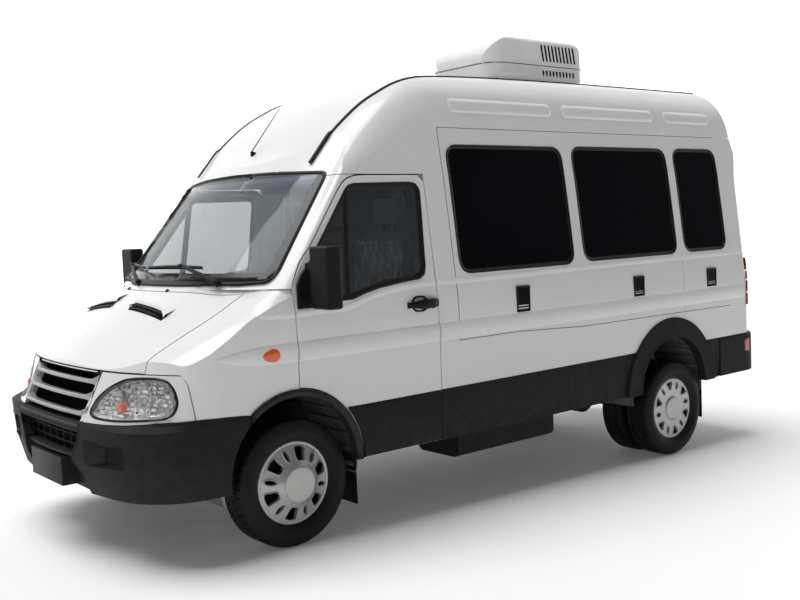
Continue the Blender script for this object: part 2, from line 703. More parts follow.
# ------------------------------------------------------------- door handles
def handle(prefix, yc, zc, body, mirror_body, flip=1):
    b = Build()
    loc, nor = on_side(yc, zc)
    ring = []
    # dished cup
    for s, h in ((1.0, -2), (1.0, 4), (0.93, 6), (0.80, 5), (0.70, -6), (0.4, -12), (0.02, -13)):
        r = []
        for k in range(28):
            a = 2 * math.pi * k / 28
            ca, sa = math.cos(a), math.sin(a)
            yy = yc + 62 * s * math.copysign(abs(ca) ** 0.8, ca)
            zz = zc + 47 * s * math.copysign(abs(sa) ** 0.8, sa)
            p, n = on_side(yy, zz)
            r.append(p + nor * (h / 1000))
        ring.append(r)
    b.grid(ring, close_v=True)
    b.cap(ring[-1])
    # bow-shaped lever
    pts = []
    rows = []
    for k in range(19):
        s = k / 18
        yy = yc - 88 + 222 * s
        hgt = 8 + 26 * math.sin(math.pi * min(1, s * 1.02)) ** 0.7
        wid = 17 + 12 * math.sin(math.pi * s) ** 2 + (6 if s > 0.72 else 0)
        p, n = on_side(min(yy, 1000), zc - 4)
        p = p + BACK * (max(0, yy - 1000) / 1000)
        row = []
        for a in range(12):
            t = 2 * math.pi * a / 12
            row.append(p + nor * ((hgt + 7 * math.cos(t)) / 1000) + UP * (wid * math.sin(t) / 1000))
        rows.append(row)
    b.loft(rows)
    for yy in (yc - 80, yc + 118):
        p, n = on_side(min(yy, 1000), zc - 4)
        b.box(p + nor * 0.008, BACK * 0.014, UP * 0.017, nor * 0.010, 0.004)
    p, n = on_side(yc + 100, zc - 2)
    b.k = 1
    b.lathe(p + nor * 0.027, nor, [(0, 0.0), (0.0, 0.0085), (-0.004, 0.0095), (-0.01, 0.0095)], 20)
    ob = b.out(prefix + "_handle", ["black", "bolt"], body)
    if mirror_body:
        mirror_of(ob, prefix.replace("left", "right") + "_handle", mirror_body)
    return ob


handle("left_front_door", 873, 1226, "left_front_door", "right_front_door")

# --------------------------------------------------- mouldings and seams
def side_line(name, pts, section, mat, body, mirror_body="body", step=24):
    return ribbon(name, [Vector(p) for p in pts], section, mat, body, on_side, closed=False, step=step,
                  mirror_body=mirror_body)


# broad swage between its upper and lower crease
swage = [(52, -1.5), (51, 0.6), (44, 4.5), (30, 8.0), (10, 9.6), (-12, 9.2), (-32, 7.0), (-45, 3.6), (-51, 0.5), (-52, -1.5)]
side_line("left_swage_door", [(30, 1048), (1007, 1048)], swage, "white", "left_front_door", "right_front_door")
side_line("left_swage_panel", [(1017, 1048), (2400, 1047), (4222, 1050)], swage, "white", "body", None)
# belt crease with a soft shadow side
belt = [(13, -1.2), (11, 1.0), (4, 4.2), (-4, 4.6), (-16, 2.4), (-26, 0.4), (-27, -1.2)]
side_line("left_belt_door", [(30, 1252), (356, 1257), (440, 1278), (524, 1304), (640, 1324), (741, 1337), (860, 1344),
                             (1007, 1346)], belt, "white", "left_front_door", "right_front_door")
side_line("left_belt_panel", [(1017, 1346), (1400, 1345)], belt, "white", "body", None)
side_line("left_belt_panel_rear", [(1401, 1345), (1700, 1347), (2300, 1354), (2345, 1355)], belt, "white", "body", None)
side_line("left_belt_panel_last", [(2346, 1355), (3400, 1360), (4230, 1362)], belt, "white", "body", None)
# seams of the inset panel
thin = flat(4.0, 0.5, 1.0)
side_line("left_seam_front", [(1172, 985), (1172, 2244)], thin, "seam", "body", None)
side_line("left_seam_bottom", [(1172, 985), (1683, 985), (2286, 956), (4034, 948)], thin, "seam", "body", None)
side_line("left_seam_mid", [(3440, 1395), (3436, 948)], flat(1.8, 0.25, 0.6), "seam", "body", None)
# the roof joint shows only along the inset panel; elsewhere it is filled
fill = [(9, -2), (8, 0.15), (-8, 0.15), (-9, -2)]
side_line("left_roof_joint_filler", [(1017, 2248), (1166, 2248)], fill, "white", "body")
side_line("left_roof_joint_filler_rear", [(4052, 2248), (4200, 2248)], fill, "white", "body")

# ----------------------------------------------------- ribs on the roof side
for i, (y0, y1) in enumerate(((1290, 2205), (2308, 3305), (3430, 4010))):
    pad("left_roof_rib_%d" % (i + 1), rect(y0, y1, 2343, 2430, 42, 8), 9.0, 26, "white", "body", on_side, step=18,
        mirror_body="body")

# ------------------------------------------------------- small side vents
def vent(name, y0, y1, z0, z1, mirror_body="body"):
    b = Build()
    yc, zc = (y0 + y1) / 2, (z0 + z1) / 2
    loc, nor = on_side(yc, zc)
    hw, hh = (y1 - y0) / 2000, (z1 - z0) / 2000
    # frame
    fr = 0.006
    for s in (-1, 1):
        b.box(loc + BACK * s * (hw - fr) + nor * 0.003, BACK * fr, UP * hh, nor * 0.005, 0.002)
        b.box(loc + UP * s * (hh - fr) + nor * 0.003, BACK * hw, UP * fr, nor * 0.005, 0.002)
    b.k = 1
    b.box(loc + nor * 0.0004, BACK * hw * 0.97, UP * hh * 0.97, nor * 0.0012)
    b.k = 0
    n = 9
    for k in range(n):
        c = loc + UP * ((-hh + 0.016) + (2 * hh - 0.032) * k / (n - 1)) + nor * 0.0035
        slant = (UP * 0.8 - nor * 0.6).normalized()
        b.box(c, BACK * (hw - fr), slant * 0.006, slant.cross(BACK) * 0.0010)
    ob = b.out(name, ["black", "slot"], "body")
    if mirror_body:
        mirror_of(ob, name.replace("left", "right"), mirror_body)
    return ob


vent("left_vent_1", 1664, 1782, 1104, 1268)
vent("left_vent_2", 2840, 2956, 1108, 1250)
vent("left_vent_3", 3730, 3848, 1114, 1252)

# ---------------------------------------------------- cladding on the doors
b = Build()
def flare_top(y, r=431, yc=-10, zc=430):
    d = r * r - (y - yc) ** 2
    return zc + math.sqrt(d) if d > 0 else 0


rows = []
ys = [30 + 6 * k for k in range(11)] + [100 + 12 * k for k in range(26)] + [412 + 6 * k for k in range(4)] \
    + [440 + 30 * k for k in range(19)] + [1004]
for y in ys:
    lo = max(416, flare_top(y))
    hi = 712
    if lo > hi - 4:
        continue
    rows.append([on_side(y, lo + (hi - lo) * s, h)[0] for s, h in
                 ((0, -1), (0, 4), (0.02, 6), (0.2, 7), (0.5, 7), (0.8, 7), (0.95, 6.5), (0.985, 4), (1, -1))])
b.grid(rows)
b.cap(rows[0])
b.cap(rows[-1])
ob = b.out("left_door_cladding", ["charcoal"], "left_front_door")
mirror_of(ob, "right_door_cladding", "right_front_door")
# seam in the side cladding
side_line("left_cladding_seam", [(2300, 430), (2300, 708)], flat(5, 0.6, 1.5), "seam", "body")
# top bead of the cladding
side_line("left_cladding_bead", [(1020, 706), (2880, 706)], bead(11, 4.5), "charcoal", "body")

# front arch lip in soft rubber over the hard one, and its rounded edge
def on_arch(y, z, h):
    """Straight outward face of the arch trim at X = 1012."""
    return P(1011.5 + h, y, z), Vector((1, 0, 0))


def arc(yc, zc, r, a0, a1, n=60):
    return [Vector((yc + r * math.cos(math.radians(a0 + (a1 - a0) * k / n)),
                    zc + r * math.sin(math.radians(a0 + (a1 - a0) * k / n)))) for k in range(n + 1)]


lip = [(19, -6), (18.5, -1), (15, 3), (8, 4.5), (-8, 4.2), (-15, 2.2), (-18.5, -2), (-19, -6)]
ribbon("left_front_arch_rubber", arc(-15, 430, 405, 127, 3), lip, "flare", "body", on_arch, closed=False, step=16,
       mirror_body="body")
lip2 = [(10, -8), (9, 1), (4, 4), (-4, 4), (-9, 1), (-10, -8)]
ribbon("left_rear_arch_edge", arc(3283, 392, 399, 177, 3), lip2, "charcoal", "body", on_arch, closed=False, step=16,
       mirror_body="body")

# wheel-arch liners
def liner(name, yc, zc, r, x0, x1, a0, a1, zmin):
    b = Build()
    rows = []
    for k in range(41):
        a = math.radians(a0 + (a1 - a0) * k / 40)
        c, s = math.cos(a), math.sin(a)
        y, z = yc + r * c, zc + r * s
        rows.append([P(x0, y, z), P(x1, y, z), P(x1, y + 4 * c, z + 4 * s), P(x0, y + 4 * c, z + 4 * s)])
    b.grid(rows, close_v=True)
    b.cap(rows[0])
    b.cap(rows[-1])
    ob = b.out(name, ["liner"], "body")
    mirror_of(ob, name.replace("left", "right"), "body")


liner("left_front_arch_liner", -15, 430, 428, 545, 944, 196, -14, 400)
liner("left_rear_arch_liner", 3283, 392, 412, 560, 946, 190, -10, 400)
# ribs pressed into the liners
b = Build()
for yc, zc, r, a0, a1, n in ((-15, 430, 427, 60, -8, 7), (3283, 392, 411, 70, -4, 8)):
    for k in range(n):
        a = math.radians(a0 + (a1 - a0) * k / (n - 1))
        c, s_ = math.cos(a), math.sin(a)
        t_ = Vector((0, -s_, c))
        o = P(745, yc + (r - 3) * c, zc + (r - 3) * s_)
        d_ = (P(745, yc + r * c, zc + r * s_) - o).normalized()
        side_ = d_.cross(Vector((1, 0, 0))).normalized()
        b.box(o, Vector((0.180, 0, 0)), side_ * 0.012, d_ * 0.006, 0.004)
ob = b.out("left_liner_ribs", ["liner"], "body")
mirror_of(ob, "right_liner_ribs", "body")

# -------------------------------------------------------- side repeater
b = Build()
rings = []
pl, pn = on_side(-138, 1046)
for s, h in ((1.0, -2), (1.0, 5), (0.92, 9), (0.7, 12), (0.4, 13.5), (0.02, 14)):
    ring = []
    for k in range(28):
        a = 2 * math.pi * k / 28
        yy = -138 + (60 if math.cos(a) < 0 else 54) * s * math.cos(a)
        zz = 1047 + (42 - 14 * (0.5 - 0.5 * math.cos(a))) * s * math.sin(a)
        ring.append(on_side(yy, zz)[0] + pn * (h / 1000))
    rings.append(ring)
b.grid(rings, close_v=True)
b.cap(rings[-1])
ob = b.out("left_side_repeater", ["amber"], "body")
mirror_of(ob, "right_side_repeater", "body")

# ------------------------------------------------------------- roof strips
STRIP_START = 396


def on_roof_xy(x, y, h=0):
    return on_top(x, y, h)


strip_pts = [Vector((648, STRIP_START)), Vector((648, 500)), Vector((648, 900)), Vector((648, 1300)), Vector((648, 1700)),
             Vector((648, 2300)), Vector((648, 4150))]
ribbon("left_roof_strip", strip_pts, [(12, -3), (12, 2), (9, 6), (4, 8), (-4, 8), (-9, 6), (-12, 2), (-12, -3)],
       "rubber", "body", on_roof_xy, closed=False, step=24, mirror_body="body")

# aerial
b = Build()
base, bn = on_top(0, 429)
b.lathe(base - bn * 0.004, bn, [(0, 0.020), (0.006, 0.020), (0.016, 0.014), (0.026, 0.007), (0.030, 0.0)], 20)
tip = P(0, 640, 2440)
b.tube([base + bn * 0.02, base.lerp(tip, 0.5) + bn * 0.01, tip], 0.003, 8, radii=[0.0035, 0.0028, 0.0018])
b.out("roof_aerial", ["black"], "body")

# ------------------------------------------------------------ roof unit
ac_lo, ac_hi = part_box("roof_air_conditioner")
ac_tree = tree("roof_air_conditioner")


def on_ac_side(y, z, off=0.0):
    hit = cast(ac_tree, P(1200, y, z), Vector((-1, 0, 0)))
    return (hit[0] + hit[1] * (off / 1000), hit[1]) if hit else None


def on_ac_top(x, y, off=0.0):
    hit = cast(ac_tree, P(x, y, 3400), -UP)
    return (hit[0] + hit[1] * (off / 1000), hit[1]) if hit else None


def on_ac_front(x, z, off=0.0):
    return on_front(x, z, off, ac_tree)


# lid joint: a line along the side with the lid's edge over it, dashes round the nose
joint = [(2190, 2784), (2300, 2787), (2450, 2789), (2700, 2789), (3000, 2789), (3184, 2788)]
ribbon("left_ac_joint", [Vector(p) for p in joint], flat(6, 0.5, 1.0), "seam", "body", on_ac_side, closed=False,
       step=20, mirror_body="body")
ribbon("left_ac_lip", [Vector((p[0], p[1] + 8)) for p in joint[1:]], bead(10, 4.0), "white_ac", "body", on_ac_side,
       closed=False, step=20, mirror_body="body")
b = Build()
for k in range(-11, 12):
    x = 25 * k
    hit = on_ac_front(x, 2785)
    if hit:
        b.box(hit[0] + hit[1] * 0.0006, Vector((0.0085, 0, 0)), UP * 0.0036, BACK * 0.0014, 0.0008)
b.out("ac_nose_joint", ["seam"], "body")
b = Build()
for k in range(-11, 12):
    x = 25 * k
    h0, h1 = on_ac_front(x, 2792), on_ac_front(x, 2798)
    if h0 and h1:
        b.box((h0[0] + h1[0]) / 2 + h0[1] * 0.001, Vector((0.0125, 0, 0)), UP * 0.0035, BACK * 0.002, 0.0015)
b.out("ac_nose_lip", ["white_ac"], "body")
b = Build()
for k in range(10):
    for y0, y1, z0, z1, lean, w in ((2715, 3059, 2821, 2940, 24, 9.0), (2722, 3050, 2714, 2757, 4, 9.0)):
        y = y0 + (y1 - y0) * k / 9
        rows = []
        for t in (0, 0.04, 0.25, 0.5, 0.75, 0.96, 1):
            z = z0 + (z1 - z0) * t
            yy = y + lean * (0.5 - t)
            ww = w * (0.45 if t in (0, 1) else 1)
            rows.append([on_ac_side(yy + d, z, h)[0] for d, h in ((-ww, -1), (-ww, 0.9), (ww, 0.9), (ww, -1))])
        b.grid(rows)
        b.cap(rows[0])
        b.cap(rows[-1])
ob = b.out("left_ac_slots", ["slot"], "body")
mirror_of(ob, "right_ac_slots", "body")
# raised rims beside each slot
b = Build()
for k in range(11):
    for y0, y1, z0, z1, lean in ((2715, 3059, 2818, 2943, 24),):
        y = y0 + (y1 - y0) * (k - 0.5) / 9
        rows = []
        for t in (0, 0.1, 0.5, 0.9, 1):
            z = z0 + (z1 - z0) * t
            yy = y + lean * (0.5 - t)
            rows.append([on_ac_side(yy + d, z, h if t not in (0, 1) else -0.5)[0]
                         for d, h in ((-5.5, -0.5), (-3.5, 2.6), (3.5, 2.6), (5.5, -0.5))])
        b.grid(rows)
for k in range(7):
    y = 2478 + (2672 - 2478) * k / 6
    rows = []
    for t in (0, 0.1, 0.5, 0.9, 1):
        z = 2832 + (2938 - 2832) * t
        yy = y + 16 * (0.5 - t)
        rows.append([on_ac_side(yy + d, z, h if t not in (0, 1) else -0.5)[0]
                     for d, h in ((-9, -0.5), (-5, 3.2), (5, 3.2), (9, -0.5))])
    b.grid(rows)
ob = b.out("left_ac_ribs", ["white_ac"], "body")
mirror_of(ob, "right_ac_ribs", "body")


# -------------------------------------------------------------- windscreen
def screen_outline(d):
    right = [(0, 1406 + d), (700, 1403 + d), (856 - d, 1412 + d), (876 - d, 1432 + d), (881 - d, 1462 + d),
             (804 - d, 1960 - d), (790 - d, 1984 - d), (762 - d, 1992 - d), (400, 2009 - d), (0, 2014 - d)]
    return [Vector(p) for p in right + [(-x, z) for x, z in reversed(right[1:-1])]]


outline = resample(rounded(screen_outline(3), 40, 4), 22, True)
inner = []
m = len(outline)
for p in outline:
    x = max(-1.0, min(1.0, p.x / 880))
    zz = p.y
    ax = abs(p.x)
    # black border: deep at the bottom, narrow at the sides, thin at the top
    edge_x = 888 - (zz - 1396) * 0.1385 - 62
    qx = math.copysign(min(ax, edge_x), p.x)
    qz = max(1458, min(zz, 1978))
    inner.append(Vector((qx, qz)))
# rounded inner corners
b = Build()
rows = []
for i in range(m):
    row = []
    for s in (0, 0.33, 0.66, 1.0):
        q = outline[i].lerp(inner[i], s)
        hit = on_screen(q.x, q.y, 0.8)
        if hit is None:
            hit = on_screen(q.x * 0.995, q.y, 0.8) or on_screen(q.x * 0.98, min(1995, max(1412, q.y)), 0.8)
        row.append(hit[0])
    rows.append(row)
b.grid(rows, close_u=True)
b.out("windscreen_border", ["frit"], "body")
b = Build()
for band, (za, zb) in enumerate(((1952, 1985), (1926, 1952), (1902, 1926), (1880, 1902))):
    b.k = band
    rows = []
    for k in range(61):
        u = -1 + 2 * k / 60
        row = []
        for s in (0, 0.5, 1):
            z = za + (zb - za) * s
            edge_x = 888 - (z - 1396) * 0.1385 - 58
            row.append(on_screen(u * edge_x, z, 0.5)[0])
        rows.append(row)
    b.grid(rows)
b.out("windscreen_top_tint", ["tint_band", "tint_band_2", "tint_band_3", "tint_band_4"], "body")


def on_frame(x, z, off=0.0):
    return on_front(x, z, off, screen_seal_tree)


screen_seal_tree = tree("windscreen", "windscreen_frame", "roof")
ribbon("windscreen_seal", rounded(screen_outline(0), 40, 4), [(-5, -6), (-5, 2), (0, 5.5), (6, 6), (12, 3.5), (15, -1)],
       "rubber", "body", on_frame, step=20)


# wipers: arm, head and blade with its claws
def wiper(pivot, knee, a, c, name):
    b = Build()
    pv, kn, pa, pc = (P(*pivot), P(*knee), P(*a), P(*c))
    n = on_screen(0, 1500)[1]
    b.lathe(pv - n * 0.014, n, [(0, 0.019), (0.012, 0.019), (0.018, 0.016), (0.026, 0.014), (0.030, 0.009),
                                 (0.031, 0.0)], 20)
    d = (kn - pv)
    side = d.cross(n).normalized()
    rows = []
    for k in range(13):
        s = k / 12
        c0 = pv.lerp(kn, s) + n * (0.012 + 0.010 * math.sin(math.pi * s))
        w = 0.013 - 0.006 * s
        h = 0.008 - 0.003 * s
        rows.append([c0 + side * w * u + n * h * v for u, v in ((1, -1), (1, 0.3), (0.6, 1), (-0.6, 1), (-1, 0.3),
                                                                 (-1, -1))])
    b.loft(rows)
    # blade: bridge and rubber
    e = (pc - pa)
    L = e.length
    eu = e.normalized()
    en = n
    es = eu.cross(en).normalized()
    rows = []
    for k in range(17):
        s = k / 16
        c0 = pa.lerp(pc, s) + en * (0.006 + 0.010 * math.sin(math.pi * s))
        w, h = 0.0055, 0.004
        rows.append([c0 + es * w * u + en * h * v for u, v in ((1, -1), (1, 1), (-1, 1), (-1, -1))])
    b.loft(rows)
    rows = []
    for k in range(17):
        c0 = pa.lerp(pc, k / 16)
        rows.append([c0 + es * u + en * v for u, v in ((0.003, 0.004), (0.004, -0.002), (0.001, -0.010),
                                                        (-0.001, -0.010), (-0.004, -0.002), (-0.003, 0.004))])
    b.loft(rows)
    for s in (0.12, 0.34, 0.66, 0.88):
        b.box(pa.lerp(pc, s) + en * 0.002, eu * 0.012, es * 0.007, en * 0.006, 0.002)
    b.box(kn + n * 0.012, eu * 0.020, es * 0.009, n * 0.009, 0.003)
    return b


w1 = wiper((584, -196, 1413), (247, -224, 1497), (-174, -222, 1487), (407, -182, 1491), "a")
w2 = wiper((-167, -294, 1409), (-472, -181, 1497), (-812, -36, 1493), (-237, -216, 1487), "b")
w1.k = 0
base_i = len(w1.v)
w1.v += w2.v
w1.f += [tuple(i + base_i for i in f) for f in w2.f]
w1.m += w2.m
ob = w1.out("wiper_set", ["black"], "body")
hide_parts("wipers")
# washer nozzles
b = Build()
for x in (-245, 245):
    p, n = on_nose(x, -318)
    b.lathe(p - n * 0.002, n, [(0, 0.011), (0.005, 0.011), (0.010, 0.007), (0.012, 0.0)], 16)
b.out("washer_nozzles", ["black"], "bonnet")

# ------------------------------------------------------------ bonnet details
for s in (1,):
    b = Build()
    # slanted intake: dark floor with fins and a raised rear lip
    xs = [118 + (500 - 118) * k / 20 for k in range(21)]
    rows = []
    for x in xs:
        e = (x - 118) / 382
        y0 = -500 + 10 * e
        y1 = -432 + 8 * e - 28 * max(0, e - 0.82) / 0.18
        rows.append([on_nose(x, y0 + (y1 - y0) * t, h)[0] for t, h in ((0, 0.4), (0.5, 0.6), (1, 0.8))])
    b.k = 1
    b.grid(rows)
    b.k = 0
    rows = []
    for x in xs:
        e = (x - 118) / 382
        y1 = -432 + 8 * e - 28 * max(0, e - 0.82) / 0.18
        rows.append([on_nose(x, y1 + d, h)[0] for d, h in ((-22, 5), (-14, 12), (0, 14), (20, 9), (42, 3), (60, -1))])
    b.k = 2
    b.grid(rows)
    b.k = 0
    for k in range(7):
        x = 140 + 52 * k
        for j in range(1):
            p, n = on_nose(x, -466)
            b.box(p + n * 0.004, Vector((0.0025, 0, 0)), BACK * 0.030, n * 0.004, 0.001)
    for t in (0.22, 0.5, 0.78):
        rows = []
        for x in xs[:-2]:
            e = (x - 118) / 382
            y0 = -500 + 10 * e
            y1 = -432 + 8 * e
            rows.append([on_nose(x, y0 + (y1 - y0) * t + d, h)[0] for d, h in ((-6, 0.5), (-3, 6), (3, 7), (5, 0.5))])
        b.grid(rows)
    ob = b.out("left_bonnet_intake", ["black", "slot", "white"], "bonnet")
    mirror_of(ob, "right_bonnet_intake", "bonnet")

# lip along the bonnet's front edge
def on_bonnet_front(x, z, off=0.0):
    return on_front(x, z, off, bonnet_tree)


bonnet_tree = tree("bonnet")
pts = []
for k in range(41):
    x = -742 + 1484 * k / 40
    pts.append(Vector((x, 1003)))
ribbon("bonnet_front_lip", pts, [(3.5, -3), (3.5, 0.8), (1, 1.6), (-2, 1.2), (-3.5, -1)], "rubber", "bonnet", on_bonnet_front,
       closed=False, step=30)

# --------------------------------------------------------------- headlamps
LAMP = [(466, 808), (468, 838), (487, 880), (548, 931), (630, 969), (700, 981), (770, 985), (828, 984),
        (882, 972), (918, 932), (934, 880), (931, 838), (914, 806), (878, 791), (730, 780), (616, 779), (512, 786)]


def smooth_loop(pts, n=8):
    """Closed Catmull-Rom through points."""
    out = []
    m = len(pts)
    for i in range(m):
        p0, p1, p2, p3 = (Vector(pts[(i + k - 1) % m]) for k in range(4))
        for k in range(n):
            t = k / n
            out.append(0.5 * ((2 * p1) + (p2 - p0) * t + (2 * p0 - 5 * p1 + 4 * p2 - p3) * t * t
                              + (3 * p1 - p0 - 3 * p2 + p3) * t ** 3))
    return out


lamp_loop = smooth_loop(LAMP)
lamp_in = resample(lamp_loop, 16, True)
lc = Vector((715, 880))
LAMP_Y = -560


def lamp_surface(x, z, off=0.0):
    return on_front(x, z, off)


def build_lamp():
    lens = Build()
    rings = []
    for s in (1.0, 0.9, 0.7, 0.45, 0.2, 0.0):
        ring = []
        for p in lamp_in:
            q = lc.lerp(p, s if s else 0.001)
            hit = lamp_surface(q.x, q.y, 1.0)
            ring.append(hit[0])
        rings.append(ring)
    lens.grid(rings, close_v=True)
    lens_ob = lens.out("left_lamp_lens", ["lens"], "body", 60)
    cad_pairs.append(lens_ob)
    # reflector shell: deep faceted bowl behind the lens
    refl = Build()
    depth = {1.0: 0.006, 0.97: 0.030, 0.85: 0.060, 0.0: 0.085}
    rings = []
    for s, d in ((0.985, 0.004), (0.96, 0.032), (0.9, 0.058), (0.7, 0.074), (0.4, 0.084), (0.001, 0.088)):
        ring = []
        for p in lamp_in:
            q = lc.lerp(p, s)
            hit = lamp_surface(q.x, q.y, 0)
            ring.append(hit[0] + BACK * d * 0.92 + Vector((-d * 0.25, 0, 0)))
        rings.append(ring)
    refl.k = 0
    refl.grid(rings, close_v=True)
    # three bowls
    for cx, cz, r, tilt in ((585, 872, 66, 0), (735, 882, 72, 0), (864, 880, 46, 0)):
        o = lamp_surface(cx, cz, 0)[0] + BACK * (0.034 + (0.02 if cx > 700 else 0)) + Vector((-0.012, 0, 0))
        ax = -BACK
        prof = [(0.004, r / 1000 * 1.06), (0.0, r / 1000), (-0.012, r / 1000 * 0.86), (-0.026, r / 1000 * 0.62),
                (-0.036, r / 1000 * 0.30), (-0.038, 0.010), (-0.020, 0.009), (-0.012, 0.007), (-0.008, 0.0)]
        # facets: alternate the bowl's radius
        n = 36
        u = ax.orthogonal().normalized()
        w = ax.cross(u)
        rows = []
        for k in range(n):
            a = 2 * math.pi * k / n
            d = u * math.cos(a) + w * math.sin(a)
            rows.append([o + ax * (h + (0.0012 if (k + j) % 2 else -0.0012) * (1 if 0 < j < 5 else 0)) + d * rr
                         for j, (h, rr) in enumerate(prof)])
        refl.grid(rows, close_u=True)
    # small mirrors and steps that fill the lamp
    rnd = random.Random(11)
    for k in range(20):
        x = 476 + 23 * k + rnd.uniform(-3, 3)
        for j in range(10):
            z = 788 + 21 * j + rnd.uniform(-3, 3)
            if not inside(Vector((x, z)), lamp_in, 11):
                continue
            hit = lamp_surface(x, z, 0)
            if hit is None:
                continue
            dx, dz = x - 640, z - 838
            if dx * dx + dz * dz < 900:
                continue
            c = hit[0] + BACK * rnd.uniform(0.026, 0.050) + Vector((-0.010, 0, 0))
            nrm = (-BACK + Vector((rnd.uniform(-0.45, 0.75), 0, 0)) + UP * rnd.uniform(-0.3, 0.75)).normalized()
            ux = nrm.cross(UP).normalized()
            uz = ux.cross(nrm)
            refl.k = rnd.choice((0, 0, 0, 2, 1, 2, 2, 3, 0, 2, 1, 4))
            refl.box(c, ux * rnd.uniform(0.007, 0.017), uz * rnd.uniform(0.004, 0.011), nrm * 0.002, 0.001)
    refl.k = 0
    refl_ob = refl.out("left_lamp_reflector", ["chrome", "lamp_grey", "lamp_white", "lamp_beige", "lamp_dark"], "body", 20)
    # amber bulb cover low inside
    amb = Build()
    o = lamp_surface(645, 838, 0)[0] + BACK * 0.020 + Vector((-0.004, 0, 0))
    amb.lathe(o, -BACK, [(-0.03, 0.022), (0.0, 0.026), (0.006, 0.024), (0.010, 0.014), (0.012, 0.0)], 18)
    amb_ob = amb.out("left_lamp_indicator", ["amber"], "body")
    for o2 in (lens_ob, refl_ob, amb_ob):
        mirror_of(o2, o2.name.replace("left", "right"), "body")


def inside(p, loop, margin=0):
    c = False
    m = len(loop)
    for i in range(m):
        a, b2 = loop[i], loop[(i + 1) % m]
        if (a.y > p.y) != (b2.y > p.y) and p.x < (b2.x - a.x) * (p.y - a.y) / (b2.y - a.y) + a.x:
            c = not c
    if c and margin:
        return min((p - q).length for q in loop) > margin
    return c


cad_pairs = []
build_lamp()
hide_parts("headlamps")
lamp_seal = [(-4, -3), (-4, 1.5), (0, 3.5), (4, 3.0), (7, 0.5), (8, -6), (8, -20)]
ribbon("left_lamp_seal", lamp_loop, lamp_seal, "rubber", "body", lamp_surface, step=14, mirror_body="body")

# ------------------------------------------------------------------ grille
GRILLE_LO, GRILLE_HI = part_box("grille")
grille_tree = tree("grille")


def grille_y(x, z):
    """Body y of the plane the slats' front edges lie in."""
    hit = None
    for zc in (797, 876, 952):
        h = cast(grille_tree, P(x, -1500, zc - 3), BACK)
        if h and (hit is None or abs(zc - z) < abs(hit[0] - z)):
            hit = (zc, to_body(h[0]).y)
    if hit is None:
        return -905 + (x / 480) ** 2 * 62 + (z - 800) * 0.5
    return hit[1] + (z - hit[0]) * 0.42


b = Build()
rows = []
for k in range(41):
    x = -446 + 892 * k / 40
    rows.append([P(x, grille_y(x * 0.9, z) + 62, z) for z in (724, 770, 820, 870, 920, 970, 1006)])
b.grid(rows)
for sx in (-1, 1):
    b.quad(P(sx * 446, grille_y(sx * 400, 724) + 62, 724), P(sx * 446, grille_y(sx * 400, 1006) + 62, 1006),
           P(sx * 440, grille_y(sx * 400, 1006) + 4, 1006), P(sx * 440, grille_y(sx * 400, 724) + 4, 724))
b.out("grille_backing", ["mesh"], "body")
# fine upright bars behind the slats
b = Build()
for k in range(43):
    x = -420 + 20 * k
    pts = [P(x, grille_y(x, z) + 50, z) for z in (740, 800, 870, 930, 990)]
    rows = [[q + Vector((dx, 0, 0)) + BACK * dy for dx, dy in ((-.0017, -.004), (.0017, -.004), (.0017, .004), (-.0017, .004))]
            for q in pts]
    b.loft(rows)
b.out("grille_bars", ["slot"], "body")
# three blades whose ends swell into angled side faces
b = Build()


def slat_y(x, zc):
    h = cast(grille_tree, P(max(-400, min(400, x)), -1500, zc - 3), BACK)
    y0 = to_body(h[0]).y if h else grille_y(x, zc)
    return y0 + (max(0, abs(x) - 400)) * 0.32


for zc in (797, 876, 952):
    rows = []
    for k in range(73):
        x = -438 + 876 * k / 72
        yy = slat_y(x, zc)
        e = max(0.0, (abs(x) - 352) / 86) ** 1.6
        up_, dn = 26 * e, 16 * e
        rows.append([P(x, yy + d, zc + z) for d, z in (
            (46, -4 + up_ * 1.5), (30, -1 + up_ * 1.4), (8, 4.2 + up_ * 1.2), (0, 5.4 + up_), (-3.0, 2 + up_ * 0.6), (-4.4, -4),
            (-3.6, -12 - dn * 0.5), (0, -16.4 - dn * 0.6), (8, -17.4 - dn * 0.6), (30, -15 - dn * 0.6), (46, -12 - dn * 0.6))])
    b.grid(rows)
    b.cap(rows[0])
    b.cap(rows[-1])
# angled side faces
for sx in (-1, 1):
    rows = []
    for k in range(9):
        z = 742 + (992 - 742) * k / 8
        yb = grille_y(sx * 400, z)
        rows.append([P(sx * 440, yb + 10, z), P(sx * 436, yb + 14, z), P(sx * 398, yb + 60, z)])
    b.grid(rows)
ob = b.out("grille_blades", ["silver"], "body")
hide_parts("grille")
# shaded edge above the grille
ribbon("grille_top_shade", [Vector((x, 993)) for x in range(-436, 437, 12)], flat(22, 0.9, 1.5), "slot", "body",
       lambda x, z, h: on_front(x, z, h, front_tree), closed=False, step=12)
# --------------------------------------------------------------- bumper
def on_bumper(x, z, off=0.0):
    hit = on_front(x, z, off, bumper_tree)
    return hit


